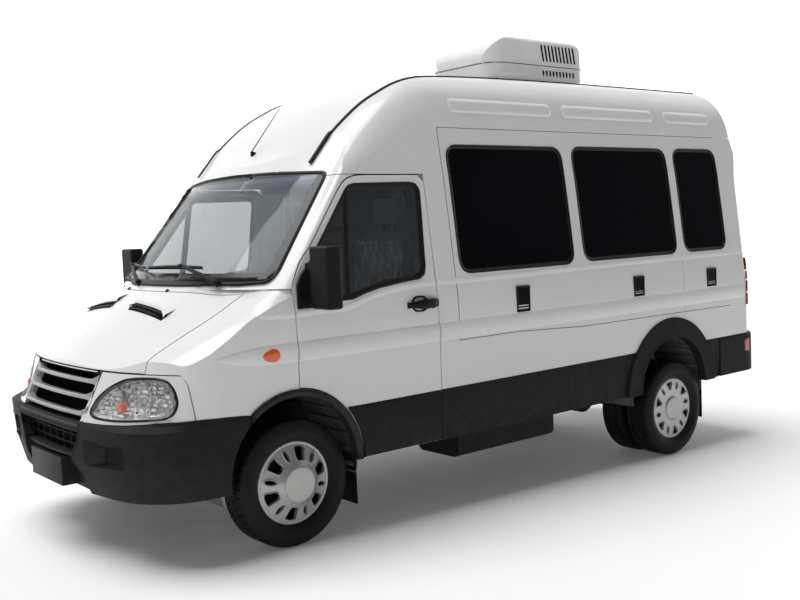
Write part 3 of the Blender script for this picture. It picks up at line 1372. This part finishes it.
# dark mouth: backing, upright and level bars, ledge
b = Build()
b.k = 1
rows = []
for k in range(25):
    x = -418 + 836 * k / 24
    yb = -878 + 10 * (x / 400) ** 2
    rows.append([P(x, yb, z) for z in (562, 612, 662, 716)])
b.grid(rows)
b.k = 0
for k in range(9):
    x = -396 + 99 * k
    zlo = 568 if abs(x) < 350 else 592 + (abs(x) - 352) * 1.1
    yb = -892 + 8 * (x / 400) ** 2
    b.box(P(x, yb, (zlo + 712) / 2), Vector((0.0025, 0, 0)), BACK * 0.004, UP * ((712 - zlo) / 2000))
for z in (612, 662):
    xe = 372 if z < 640 else 408
    rows = []
    for k in range(25):
        x = -xe + 2 * xe * k / 24
        yb = -893 + 8 * (x / 400) ** 2
        rows.append([P(x, yb, z - 4), P(x, yb - 3, z), P(x, yb, z + 4), P(x, yb + 8, z + 4), P(x, yb + 8, z - 4)])
    b.grid(rows, close_v=True)
rows = []
for k in range(25):
    x = -338 + 676 * k / 24
    yb = -948 + 26 * (abs(x) / 340) ** 2.2
    rows.append([P(x, yb, 563), P(x, yb - 3, 569), P(x, yb, 575), P(x, yb + 55, 577), P(x, yb + 55, 563)])
b.grid(rows, close_v=True)
b.cap(rows[0])
b.cap(rows[-1])
b.out("bumper_intake_mesh", ["mesh", "slot"], "body")
# rolled edge round the mouth's top and sides
mouth = [(-396, 474), (-342, 566), (-354, 592), (-414, 660), (-426, 716), (426, 716), (414, 660), (354, 592), (342, 566),
         (396, 474)]
ribbon("bumper_intake_lip", [Vector(q) for q in mouth], [(-9, -2), (-8, 2), (-3, 4), (2, 3), (3, -3), (3, -14)], "charcoal",
       "body", on_bumper, closed=False, step=18)

# fog lamp pockets: raised surround, dark well and a slanting mesh
pl = on_bumper(588, 608)[0]
pr = on_bumper(790, 608)[0]
fux = (pr - pl).normalized()
fc = (pl + pr) / 2
fn = fux.cross(UP).normalized()
if fn.y > 0:
    fn = -fn
half = (pr - pl).length / 2 * (88 / 101)


def fog_pt(u, w, d):
    """u, w: millimetres across and up from the pocket's middle; d: outwards."""
    return fc + fux * (u / 1000) + UP * (w / 1000) + fn * (d / 1000)


b = Build()
FOG_L = -half * 1000 - 6
fl = resample(rounded([(FOG_L, -50), (half * 1000 - 6, -54), (half * 1000 - 2, 54), (FOG_L + 4, 56)], 20, 5), 8, True)
rings = []
for d, h in ((-13, -4), (-12, 0.8), (-7, 2.8), (-2, 2.0), (2, -2), (4, -10), (5, -24)):
    ring = []
    for q in offset_loop(fl, d):
        base = fog_pt(q.x, q.y, h)
        if h > -3:
            x_, z_ = base.x * 1000, to_body(base).z
            hit = on_bumper(x_, z_, h) if not (abs(q.x) < half * 1000 - 1 and abs(q.y) < 55) else None
            if hit and abs((hit[0] - base).dot(fn)) < 0.03:
                base = hit[0]
        ring.append(base)
    rings.append(ring)
b.grid(rings, close_v=True)
b.k = 1
b.cap(rings[-1])
b.k = 2
for k in range(-9, 10):
    for sgn in (1, -1):
        # line u - sgn*w = 14 k, clipped to the pocket
        pts = []
        for i in range(81):
            t = -110 + 220 * i / 80
            u, w = 13 * k + t, sgn * t - sgn * 13 * k * 0.0
            if FOG_L + 8 < u < half * 1000 - 7 and abs(w) < 48:
                pts.append((u, w))
        if len(pts) < 3:
            continue
        (u0, w0), (u1, w1_) = pts[0], pts[-1]
        q0, q1 = fog_pt(u0, w0, -7 - sgn), fog_pt(u1, w1_, -7 - sgn)
        e = q1 - q0
        b.box((q0 + q1) / 2, e / 2, e.normalized().cross(fn).normalized() * 0.0007, fn * 0.0007)
ob = b.out("left_fog_pocket", ["charcoal", "slot", "mesh_wire"], "body")
mirror_of(ob, "right_fog_pocket", "body")
# blank plate holder
b = Build()
b.box(P(0, -960.5, 473), Vector((0.219, 0, 0)), UP * 0.0745, BACK * 0.0026, 0.002)
b.out("front_plate_blank", ["plate_face"], "body")
# crease along the top of the bumper, which catches the light
crease = [(x, 741) for x in range(-984, -426, 18)]
for sx in (-1, 1):
    pass
pts = [Vector((x, 742)) for x in range(-424, 425, 16)]
ribbon("bumper_bar_crease", pts, [(12, -3), (10, 2.6), (3, 5.2), (-3, 5.0), (-9, 2.4), (-12, -3)], "crease", "body", on_bumper,
       closed=False, step=16)
# joint between the middle bar and the outer ends
for sx in (-1, 1):
    pts = [Vector((sx * 430, z)) for z in range(720, 786, 8)]
    ribbon("%s_bumper_joint" % ("left" if sx > 0 else "right"), pts, flat(4.0, 0.7, 1.5), "seam", "body", on_bumper,
           closed=False, step=8)

# ------------------------------------------------------------------ wheels
# tyre section: sidewall from the bead to the shoulder, then the tread from shoulder to shoulder
SIDEWALL = [(60, 206), (66, 207), (67, 214), (66, 218), (68, 223), (74, 231), (80, 239), (84, 246), (85.6, 247.5), (85.6, 251),
            (87.5, 253), (92, 264), (95, 274), (95, 283), (93.2, 289), (94.2, 291), (93.8, 296), (91.6, 301), (90, 312),
            (87.2, 319), (85.4, 325), (81.5, 332)]
TREAD = [(78, 336, "a"), (70, 341, "a"), (61, 344.5, "a"), (47.5, 345, "a"), (46.5, 337.5, ""), (40, 337.5, ""), (39, 345, "b"),
         (18, 345, "b"), (17, 337.5, ""), (11, 337.5, ""), (10, 345, "c")]
STEPS = [0.02, 0.34, 0.37, 0.47, 0.50, 0.84, 0.87, 0.97]


def tyre(b, xc, y):
    pitches = 46
    side_pts = [(o, r, "") for o, r in SIDEWALL]
    prof = side_pts + TREAD + [(-o, r, "d" if z == "a" else "e" if z == "b" else z) for o, r, z in reversed(TREAD)] \
        + [(-o, r, "") for o, r, _ in reversed(side_pts)]
    rows = []
    for k in range(pitches):
        for i, t in enumerate(STEPS):
            a = 2 * math.pi * (k + t) / pitches
            row = []
            for o, r, z in prof:
                cut = (z in ("a", "e") and i in (6, 7)) or (z in ("b", "d") and i in (2, 3))
                rr = r - (6.5 if cut and abs(o) < 75 else 3.5 if cut else 0)
                row.append(W(xc + o, y + rr * math.sin(a), 345 + rr * math.cos(a)))
            rows.append(row)
    b.grid(rows, close_u=True)


def cover(b, xf, y, sgn, prof, holes, big0, hub_ring, deep, wide=((21, 14), 12)):
    """Wheel cover with slots: prof gives (radius, outwards) from the middle out; holes (r0, r1)."""
    r0, r1 = holes

    def height(r):
        for (ra, ha), (rb, hb) in zip(prof, prof[1:]):
            if ra <= r <= rb:
                return ha + (hb - ha) * (r - ra) / (rb - ra) if rb > ra else hb
        return prof[-1][1]

    def pt(r, ang, h):
        return W(sgn * (xf + h), y + r * math.sin(ang), 345 + r * math.cos(ang))
    # middle and outer ring
    for part in ([q for q in prof if q[0] <= r0 - 6], [q for q in prof if q[0] >= r1 + 6]):
        if part[0][0] > 10:
            part = [(r1 + 6, height(r1 + 6))] + [q for q in part if q[0] > r1 + 6]
        else:
            part = part + [(r0 - 6, height(r0 - 6))]
        rows = [[pt(r, 2 * math.pi * k / 96, h) for r, h in part] for k in range(96)]
        b.grid(rows, close_u=True)
    # the ring that carries the slots, one sector at a time
    for sec in range(12):
        big = sec % 2 == 0
        mid = math.radians(big0 + 30 * sec)
        hr = math.radians(15)
        ra, rb = (r0, r1) if big else (r0 + (r1 - r0) * 0.08, r1 - (r1 - r0) * 0.10)
        radii = [r0 - 6]
        radii += [ra - 0.01, ra, ra + 1.2, ra + 3.5, ra + 7] + [ra + 7 + (rb - ra - 14) * q / 6 for q in range(1, 6)] \
            + [rb - 7, rb - 3.5, rb - 1.2, rb, rb + 0.01, r1 + 6]
        radii = sorted(set(round(q, 3) for q in radii if r0 - 6 <= q <= r1 + 6))
        for s2 in (-1, 1):
            rows = []
            for r in radii:
                t = (r - ra) / (rb - ra)
                if 0 <= t <= 1:
                    w = ((wide[0][0] + wide[0][1] * t) if big else wide[1] * math.sin(math.pi * (0.10 + 0.76 * t)) ** 0.8)
                    e = min(r - ra, rb - r)
                    w *= 0.0 if e <= 0 else min(1.0, 0.45 + 0.55 * (e / 7) ** 0.5)
                    inside_hole = e > 0
                else:
                    w, inside_hole = 0.0, False
                hw = w / r
                lift = (5.0 if big else 4.2) * (min(1, max(0, min(r - ra + 5, rb + 5 - r)) / 8))
                row = []
                for q, h in ((0, 0), (0.35, 0), (0.62, 0)):
                    row.append(pt(r, mid + s2 * (hr + (hw - hr) * q), height(r) + h))
                base = hw
                for d, h in ((10, 0.2), (6.5, lift * 0.75), (3.5, lift), (0.8, lift * 0.7)):
                    row.append(pt(r, mid + s2 * min(hr * 0.9, base + d / r), height(r) + h))
                row.append(pt(r, mid + s2 * base, height(r) - (deep if inside_hole else 1.0)))
                rows.append(row)
            b.grid(rows)
    # fine ring on the hub
    b.k = 1
    rows = []
    for k in range(72):
        a = 2 * math.pi * k / 72
        rows.append([pt(hub_ring + d, a, height(hub_ring + d) + h) for d, h in ((-1.0, -0.5), (-0.9, 0.35), (0.9, 0.35), (1.0, -0.5))])
    b.grid(rows, close_u=True)
    b.k = 0


def rim(b, xc, y, sgn, xd):
    """Steel rim inside the tyre, with its disc at xd."""
    prof = [(66, 222), (69, 219), (67, 214), (62, 204), (40, 199), (20, 184), (-20, 184), (-40, 199), (-62, 204), (-67, 214),
            (-69, 219), (-66, 222), (-60, 208), (-40, 204), (-20, 190), (20, 190), (40, 204), (60, 208)]
    rows = []
    for k in range(64):
        a = 2 * math.pi * k / 64
        rows.append([W(xc + sgn * o, y + r * math.sin(a), 345 + r * math.cos(a)) for o, r in prof])
    b.grid(rows, close_u=True, close_v=True)
    rows = []
    for k in range(64):
        a = 2 * math.pi * k / 64
        rows.append([W(sgn * (xd + h), y + r * math.sin(a), 345 + r * math.cos(a))
                     for r, h in ((0, 8), (60, 8), (92, 6), (110, -8), (150, -4), (184, -14), (186, -24), (150, -14), (0, -6))])
    b.grid(rows, close_u=True)
    for k in range(6):
        a = 2 * math.pi * k / 6
        o = W(sgn * (xd + 8), y + 78 * math.sin(a), 345 + 78 * math.cos(a))
        b.lathe(o, Vector((sgn, 0, 0)), [(0, 0.016), (0.014, 0.016), (0.016, 0.013), (0.016, 0.0)], 6)


FRONT_PROF = [(0, 66), (40, 65.4), (80, 63.4), (91, 62.4), (94, 61.6), (97, 59.6), (101, 56.5), (108, 50.5), (116, 44), (126, 37), (140, 28.5),
              (156, 20.5), (174, 13), (190, 7.5), (200, 4.6), (204, 2.6), (207, 1.4), (210, 2.6), (216, 2.8), (220, 0.8), (223, -4),
              (223.5, -9)]
REAR_PROF = [(0, 10.5), (60, 10.2), (76, 9.4), (80, 8.2), (83, 4.5), (86, 1.2), (92, 0.2), (110, 0), (198, 0), (204, -0.6), (208, 0.4), (216, 0.2), (220, -1.5),
             (223, -6), (223.5, -10)]
for side_name, sgn in (("left", 1), ("right", -1)):
    b = Build()
    tyre(b, sgn * 848, 0)
    ob = b.out("%s_front_tyre_tread" % side_name, ["tyre"], "%s_front_wheel" % side_name, 30)
    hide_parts("%s_front_tyre" % side_name)
    b = Build()
    cover(b, 918, 0, sgn, FRONT_PROF, (124, 196), 10, 93, 20)
    b.k = 2
    rim(b, sgn * 848, 0, sgn, 884)
    ob = b.out("%s_front_wheel_cover" % side_name, ["wheel", "wheel_line", "steel"], "%s_front_wheel" % side_name, 40)
    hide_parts("%s_front_wheel" % side_name)
    b = Build()
    tyre(b, sgn * 655, WHEELBASE)
    tyre(b, sgn * 885, WHEELBASE)
    ob = b.out("%s_rear_tyre_treads" % side_name, ["tyre"], "%s_rear_wheels" % side_name, 30)
    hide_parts("%s_rear_tyres" % side_name)
    b = Build()
    cover(b, 955, WHEELBASE, sgn, REAR_PROF, (138, 198), -11, 84, 14, ((5, 29), 12))
    b.k = 2
    rim(b, sgn * 885, WHEELBASE, sgn, 925)
    rim(b, sgn * 655, WHEELBASE, -sgn, -720)
    ob = b.out("%s_rear_wheel_cover" % side_name, ["wheel", "wheel_line", "steel"], "%s_rear_wheels" % side_name, 40)
    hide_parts("%s_rear_wheels" % side_name)

# ------------------------------------------------- creases on the front wing
def tapered(name, y0, y1, mid, section, peak, body="body"):
    """A crease that grows from nothing at y0 to its full section at y1; mid(y) is its middle height."""
    b = Build()
    rows = []
    n = 26
    for k in range(n + 1):
        t = k / n
        y = y0 + (y1 - y0) * t
        e = max(0.03, math.sin(min(1, t / peak) * math.pi / 2) ** 0.8)
        rows.append([on_side(y, mid(y) + d * e, h * e if h > 0 else h)[0] for d, h in section])
    b.grid(rows)
    b.cap(rows[0], flip=True)
    b.cap(rows[-1])
    ob = b.out(name, ["white"], body, 50)
    mirror_of(ob, name.replace("left", "right"), body)


tapered("left_swage_wing", -470, 20, lambda y: 1048 + 10 * max(0, (-y - 100) / 370) ** 1.3, swage, 0.75)
tapered("left_belt_wing", -225, 20, lambda y: 1252, belt, 0.6)

# ------------------------------------------------- seals in the door gaps
gap_line = [(25, 1395), (63, 1464), (95, 1514), (162, 1588), (252, 1706), (375, 1870), (423, 1924), (460, 1949), (520, 1963),
            (600, 1967), (972, 1967), (1012, 1926), (1012, 1560), (1012, 1200)]
ribbon("left_door_seal", [Vector(q) for q in gap_line], [(2.5, -7), (-2.5, -7), (-2.5, -24), (2.5, -24)], "rubber", "body",
       on_side, closed=False, step=12, mirror_body="body")

# ------------------------------------------------------------ front seats
def soft_box(b, c, hx, ay, az, hy, hz, bulge=0.10, n=28, m=18, e=0.30):
    """A stuffed block: c middle, hx half width, ay and az unit axes with half sizes hy and hz (millimetres)."""
    rows = []
    for i in range(m + 1):
        v = math.pi * (i / m - 0.5)
        cv, sv = math.cos(v), math.sin(v)
        rv = max(1e-4, abs(cv)) ** e
        zz = math.copysign(abs(sv) ** e, sv)
        row = []
        for k in range(n):
            u = 2 * math.pi * k / n
            cu, su = math.cos(u), math.sin(u)
            xx = math.copysign(abs(cu) ** e, cu) * rv
            yy = math.copysign(abs(su) ** e, su) * rv
            puff = 1 + bulge * (1 - min(1, xx * xx)) * (1 - min(1, zz * zz)) if bulge else 1
            row.append(c + Vector((xx * hx / 1000, 0, 0)) + ay * (yy * hy * puff / 1000) + az * (zz * hz / 1000))
        rows.append(row)
    b.grid(rows, close_v=True)


def Q(x, y, z):
    return P(x, y, z)


b = Build()
back_axis = (P(0, 1046, 1640) - P(0, 1010, 1110)).normalized()
back_norm = Vector((1, 0, 0)).cross(back_axis).normalized()
for x0, x1 in ((205, 695), (-700, -303), (-297, 100)):
    xm, hw = (x0 + x1) / 2, (x1 - x0) / 2
    # cushion, with bolsters
    soft_box(b, P(xm, 800, 1000), hw * 0.96, BACK, UP, 195, 68, 0.05)
    for sx in (-1, 1):
        soft_box(b, P(xm + sx * (hw - 34), 800, 1012), 30, BACK, UP, 190, 62, 0.08, 16, 12)
    # back
    soft_box(b, P(xm, 1072, 1370), hw * 0.94, back_norm, back_axis, 38, 276, 0.10)
    for sx in (-1, 1):
        soft_box(b, P(xm + sx * (hw - 36), 1060, 1350), 31, back_norm, back_axis, 42, 240, 0.08, 16, 12)
for x in (450, -120, -500):
    soft_box(b, P(x, 1112, 1768), 118, BACK, UP, 36, 80, 0.10, 24, 14)
seats = b.out("front_seat_cushions", ["cloth"], "body", 60)
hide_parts("front_seats")
# frames, headrest rods and seat boxes
b = Build()
for x in (450, -120, -500):
    for sx in (-1, 1):
        b.tube([P(x + sx * 60, 1108, 1600), P(x + sx * 60, 1110, 1700)], 0.006, 8)
for x0, x1 in ((225, 675), (-680, 80)):
    b.box(P((x0 + x1) / 2, 845, 921), Vector(((x1 - x0) / 2000, 0, 0)), BACK * 0.225, UP * 0.009, 0.004)
b.out("front_seat_frames", ["steel"], "body")
# clear wrapping left on the driver's seat
rnd = random.Random(5)
path = [(1020, 1585), (1018, 1560), (1008, 1450), (998, 1330), (988, 1220), (978, 1130), (950, 1094),
        (880, 1086), (790, 1082), (700, 1084), (630, 1082), (596, 1060), (588, 1000)]
lines = resample([Vector(q) for q in path], 14)
b = Build()
rows = []
nx = 30
for i, q in enumerate(lines):
    row = []
    for k in range(nx + 1):
        x = 214 + 472 * k / nx
        wob = 3.2 * math.sin(x / 17.0 + i * 0.55) * math.sin(i * 0.41 + x / 61.0) + rnd.uniform(-1.2, 1.2)
        row.append(P(x, q.x + wob * 0.8, q.y + wob * 0.6))
    rows.append(row)
b.grid(rows)
wrap = b.out("driver_seat_wrap", ["film"], "body", 20)

# ------------------------------------------------- inner walls of the rear arches
b = Build()
rows = []
for k in range(25):
    y = 2880 + 830 * k / 24
    rows.append([P(547, y, z) for z in (385, 445, 560, 640, 700, 760, 798)])
b.grid(rows)
ob = b.out("left_rear_arch_wall", ["liner"], "body")
mirror_of(ob, "right_rear_arch_wall", "body")

# ------------------------------------------------------------------- rear
def on_rbump_side(y, z, off=0.0):
    hit = cast(rbump_tree, P(1600, y, z), Vector((-1, 0, 0)))
    return (hit[0] + hit[1] * (off / 1000), hit[1]) if hit else on_side(y, z, off)


def on_tail(x, z, off=0.0):
    return on_rear(x, z, off, rear_tree)


pad("left_rear_reflector", rect(4226, 4290, 566, 664, 8, 4), 4.0, 4, "red", "body", on_rbump_side, step=8,
    mirror_body="body")
side_line("left_rear_bumper_joint", [(4111, 664), (4112, 506)], flat(3.0, 0.5, 1.0), "seam", "body",)
# tail lamp: amber, clear and red fields with fine ribs, over the red housing
for nm, z0, z1, mat in (("amber", 1206, 1304, "amber"), ("clear", 1128, 1200, "clear_lens"), ("red_top", 1030, 1122, "red"),
                        ("red_low", 928, 1024, "red")):
    pad("left_tail_%s" % nm, [Vector(q) for q in ((850, z0), (986, z0), (986, z1), (850, z1))], 4.0, 5, mat, "body", on_tail,
        step=12, mirror_body="body")
# back door: frame joint, handle, blank plate recess, hinges
b = Build()
for z in (960, 1420, 1980):
    h = on_rear(800, z, 0)
    if h:
        b.box(h[0] + Vector((0, 0.008, 0)), Vector((0.022, 0, 0)), UP * 0.045, Vector((0, 0.006, 0)), 0.003)
ob = b.out("left_rear_door_hinge_plates", ["black"], "left_rear_door")
mirror_of(ob, "right_rear_door_hinge_plates", "right_rear_door")
h = on_rear(120, 1120, 0)
b = Build()
if h:
    o = h[0]
    b.box(o + Vector((0, 0.004, 0)), Vector((0.085, 0, 0)), UP * 0.030, Vector((0, 0.004, 0)), 0.003)
    b.box(o + Vector((0, 0.024, 0)), Vector((0.072, 0, 0)), UP * 0.011, Vector((0, 0.007, 0)), 0.004)
    for dx in (-0.062, 0.062):
        b.box(o + Vector((dx, 0.014, 0)), Vector((0.010, 0, 0)), UP * 0.011, Vector((0, 0.010, 0)), 0.002)
b.out("rear_door_handle", ["black"], "left_rear_door")
h = on_rear(330, 905, 0)
b = Build()
if h:
    o = Vector((-h[0].x, h[0].y, h[0].z))
    b.box(o + Vector((0, 0.003, 0)), Vector((0.255, 0, 0)), UP * 0.080, Vector((0, 0.0035, 0)), 0.003)
b.out("rear_plate_blank", ["plate_face"], "right_rear_door")
# high lamp over the doors
h = on_rear(0, 2150, 0)
b = Build()
if h:
    b.box(h[0] + Vector((0, 0.006, 0)), Vector((0.150, 0, 0)), UP * 0.020, Vector((0, 0.008, 0)), 0.004)
b.out("high_rear_lamp", ["red"], "body")

# ----------------------------------------------- right side: sliding door
def right_only(name, mats, body, b, deg=38):
    """Finishes a piece drawn on the left surface as a piece of the right side."""
    b.v = [Vector((-v[0], v[1], v[2])) for v in b.v]
    return b.out(name, mats, body, deg)


b = Build()
rows = []
for k in range(61):
    y = 2302 + 1330 * k / 60
    rows.append([on_side(y, 1190 + d, h)[0] for d, h in ((17, -1), (15, 1.2), (9, 1.2), (8, 0.4), (-8, 0.4), (-9, 1.2), (-15, 1.2), (-17, -1))])
b.grid(rows)
b.cap(rows[0])
b.cap(rows[-1])
right_only("sliding_door_rail", ["white"], "body", b)
b = Build()
rows = []
for k in range(61):
    y = 2306 + 1322 * k / 60
    rows.append([on_side(y, 1190 + d, h)[0] for d, h in ((7.5, -1), (7, 0.9), (-7, 0.9), (-7.5, -1))])
b.grid(rows)
right_only("sliding_door_rail_groove", ["seam"], "body", b)
b = Build()
p, n = on_side(1290, 1226)
b.box(p + n * 0.004, BACK * 0.055, UP * 0.026, n * 0.005, 0.003)
b.box(p + n * 0.022, BACK * 0.047, UP * 0.010, n * 0.006, 0.003)
for dy in (-0.04, 0.04):
    b.box(p + n * 0.013 + BACK * dy, BACK * 0.007, UP * 0.010, n * 0.009, 0.002)
right_only("sliding_door_handle", ["black"], "body", b)
# fuel flap, right side behind the sliding door
b = Build()
loop = resample(rounded([(3560, 1010), (3740, 1010), (3740, 1150), (3560, 1150)], 18, 5), 12, True)
rings = []
for d, h in ((-1, 0.4), (1.5, 0.4)):
    rings.append([on_side(q.x, q.y, h)[0] for q in offset_loop(loop, d)])
b.grid(rings, close_v=True)
right_only("fuel_flap_joint", ["seam"], "body", b)

# =================================================================== stage
sm = bpy.data.materials.new("studio_floor")
sm.use_nodes = True
sb = sm.node_tree.nodes["Principled BSDF"]
sb.inputs["Base Color"].default_value = (0.93, 0.93, 0.925, 1)
sb.inputs["Roughness"].default_value = 0.75
sb.inputs["Specular IOR Level"].default_value = 0.2
sb.inputs["Emission Color"].default_value = (1, 1, 1, 1)
sb.inputs["Emission Strength"].default_value = 0.06
me = bpy.data.meshes.new("studio_floor")
me.from_pydata([(-60, -60, 0), (60, -60, 0), (60, 60, 0), (-60, 60, 0)], [], [(0, 1, 2, 3)])
me.materials.append(sm)
floor = bpy.data.objects.new("studio_floor", me)
bpy.context.scene.collection.objects.link(floor)


def lamp(name, kind, loc, target, energy, size=2.0, size_y=None, color=(1, 1, 1), angle=None):
    L = bpy.data.lights.new(name, kind)
    L.energy = energy
    L.color = color
    if kind == "AREA":
        L.shape = "RECTANGLE"
        L.size = size
        L.size_y = size_y or size
    if kind == "SUN" and angle:
        L.angle = angle
    ob = bpy.data.objects.new(name, L)
    ob.location = loc
    ob.rotation_euler = (Vector(target) - Vector(loc)).to_track_quat("-Z", "Y").to_euler()
    bpy.context.scene.collection.objects.link(ob)
    return ob


world = bpy.data.worlds.new("studio_world")
world.use_nodes = True
bpy.context.scene.world = world
bg = world.node_tree.nodes["Background"]
bg.inputs["Color"].default_value = (0.94, 0.96, 1.0, 1)
bg.inputs["Strength"].default_value = 0.10
lamp("key_overhead", "SUN", (-2.4, -2.3, 9.0), (0, 0, 0), 3.2, angle=math.radians(50))
fill = lamp("front_fill", "AREA", (4.0, -11.0, 6.5), (0, -1.5, 1.2), 90, 9, 6)
fill.visible_glossy = False

# pale backdrop far behind
bm_ = bpy.data.materials.new("studio_backdrop")
bm_.use_nodes = True
bb = bm_.node_tree.nodes["Principled BSDF"]
bb.inputs["Base Color"].default_value = (0.9, 0.9, 0.9, 1)
bb.inputs["Roughness"].default_value = 0.9
bb.inputs["Emission Color"].default_value = (1, 1, 1, 1)
bb.inputs["Emission Strength"].default_value = 1.0
me = bpy.data.meshes.new("studio_backdrop")
d_ = Vector((-0.77, 0.64, 0)).normalized()
r_ = Vector((0.64, 0.77, 0)).normalized()
c_ = d_ * 28
me.from_pydata([tuple(c_ - r_ * 40 + Vector((0, 0, -1))), tuple(c_ + r_ * 40 + Vector((0, 0, -1))),
                tuple(c_ + r_ * 40 + Vector((0, 0, 26))), tuple(c_ - r_ * 40 + Vector((0, 0, 26)))], [], [(0, 1, 2, 3)])
me.materials.append(bm_)
back = bpy.data.objects.new("studio_backdrop", me)
bpy.context.scene.collection.objects.link(back)
me = bpy.data.meshes.new("studio_backdrop_wide")
k_ = d_ * 28.5
me.from_pydata([tuple(k_ - r_ * 90 + Vector((0, 0, -1))), tuple(k_ + r_ * 90 + Vector((0, 0, -1))),
                tuple(k_ + r_ * 90 + Vector((0, 0, 95))), tuple(k_ - r_ * 90 + Vector((0, 0, 95)))], [], [(0, 1, 2, 3)])
me.materials.append(bm_)
wide_back = bpy.data.objects.new("studio_backdrop_wide", me)
bpy.context.scene.collection.objects.link(wide_back)
wide_back.visible_diffuse = False
me = bpy.data.meshes.new("studio_surround")
ring_ = [Vector((62 * math.cos(math.radians(a)), 62 * math.sin(math.radians(a)), 0)) for a in range(0, 361, 15)]
verts_, faces_ = [], []
for q in ring_:
    verts_ += [(q.x, q.y, -1), (q.x, q.y, 70)]
for k in range(len(ring_) - 1):
    faces_.append((2 * k, 2 * k + 2, 2 * k + 3, 2 * k + 1))
me.from_pydata(verts_, [], faces_)
me.materials.append(bm_)
surround = bpy.data.objects.new("studio_surround", me)
bpy.context.scene.collection.objects.link(surround)
surround.visible_diffuse = False
surround.visible_glossy = False

scene = bpy.context.scene
scene.view_settings.view_transform = "Standard"
scene.view_settings.look = "None"
scene.view_settings.exposure = 0.0

# ------------------------------------------------------------------ camera
YAW, PITCH, ROLL = (math.radians(a) for a in (50.51, 3.37, -1.05))


def camera_axes():
    cy, sy = math.cos(YAW), math.sin(YAW)
    cp, sp = math.cos(PITCH), math.sin(PITCH)
    f = Vector((-sy * cp, cy * cp, -sp))
    r = Vector((cy, sy, 0))
    u = r.cross(f)
    cr, sr = math.cos(ROLL), math.sin(ROLL)
    return r * cr + u * sr, r * -sr + u * cr, f


right, up, forward = camera_axes()
cam_data = bpy.data.cameras.new("photo_camera")
cam_data.sensor_width = 36
cam_data.sensor_fit = "HORIZONTAL"
cam_data.lens = 44.47
cam_data.dof.use_dof = False
cam_data.clip_end = 200
cam = bpy.data.objects.new("photo_camera", cam_data)
mat = Matrix((right, up, -forward)).transposed().to_4x4()
mat.translation = W(5276, -2840, 1608)
cam.matrix_world = mat
scene.collection.objects.link(cam)
scene.camera = cam
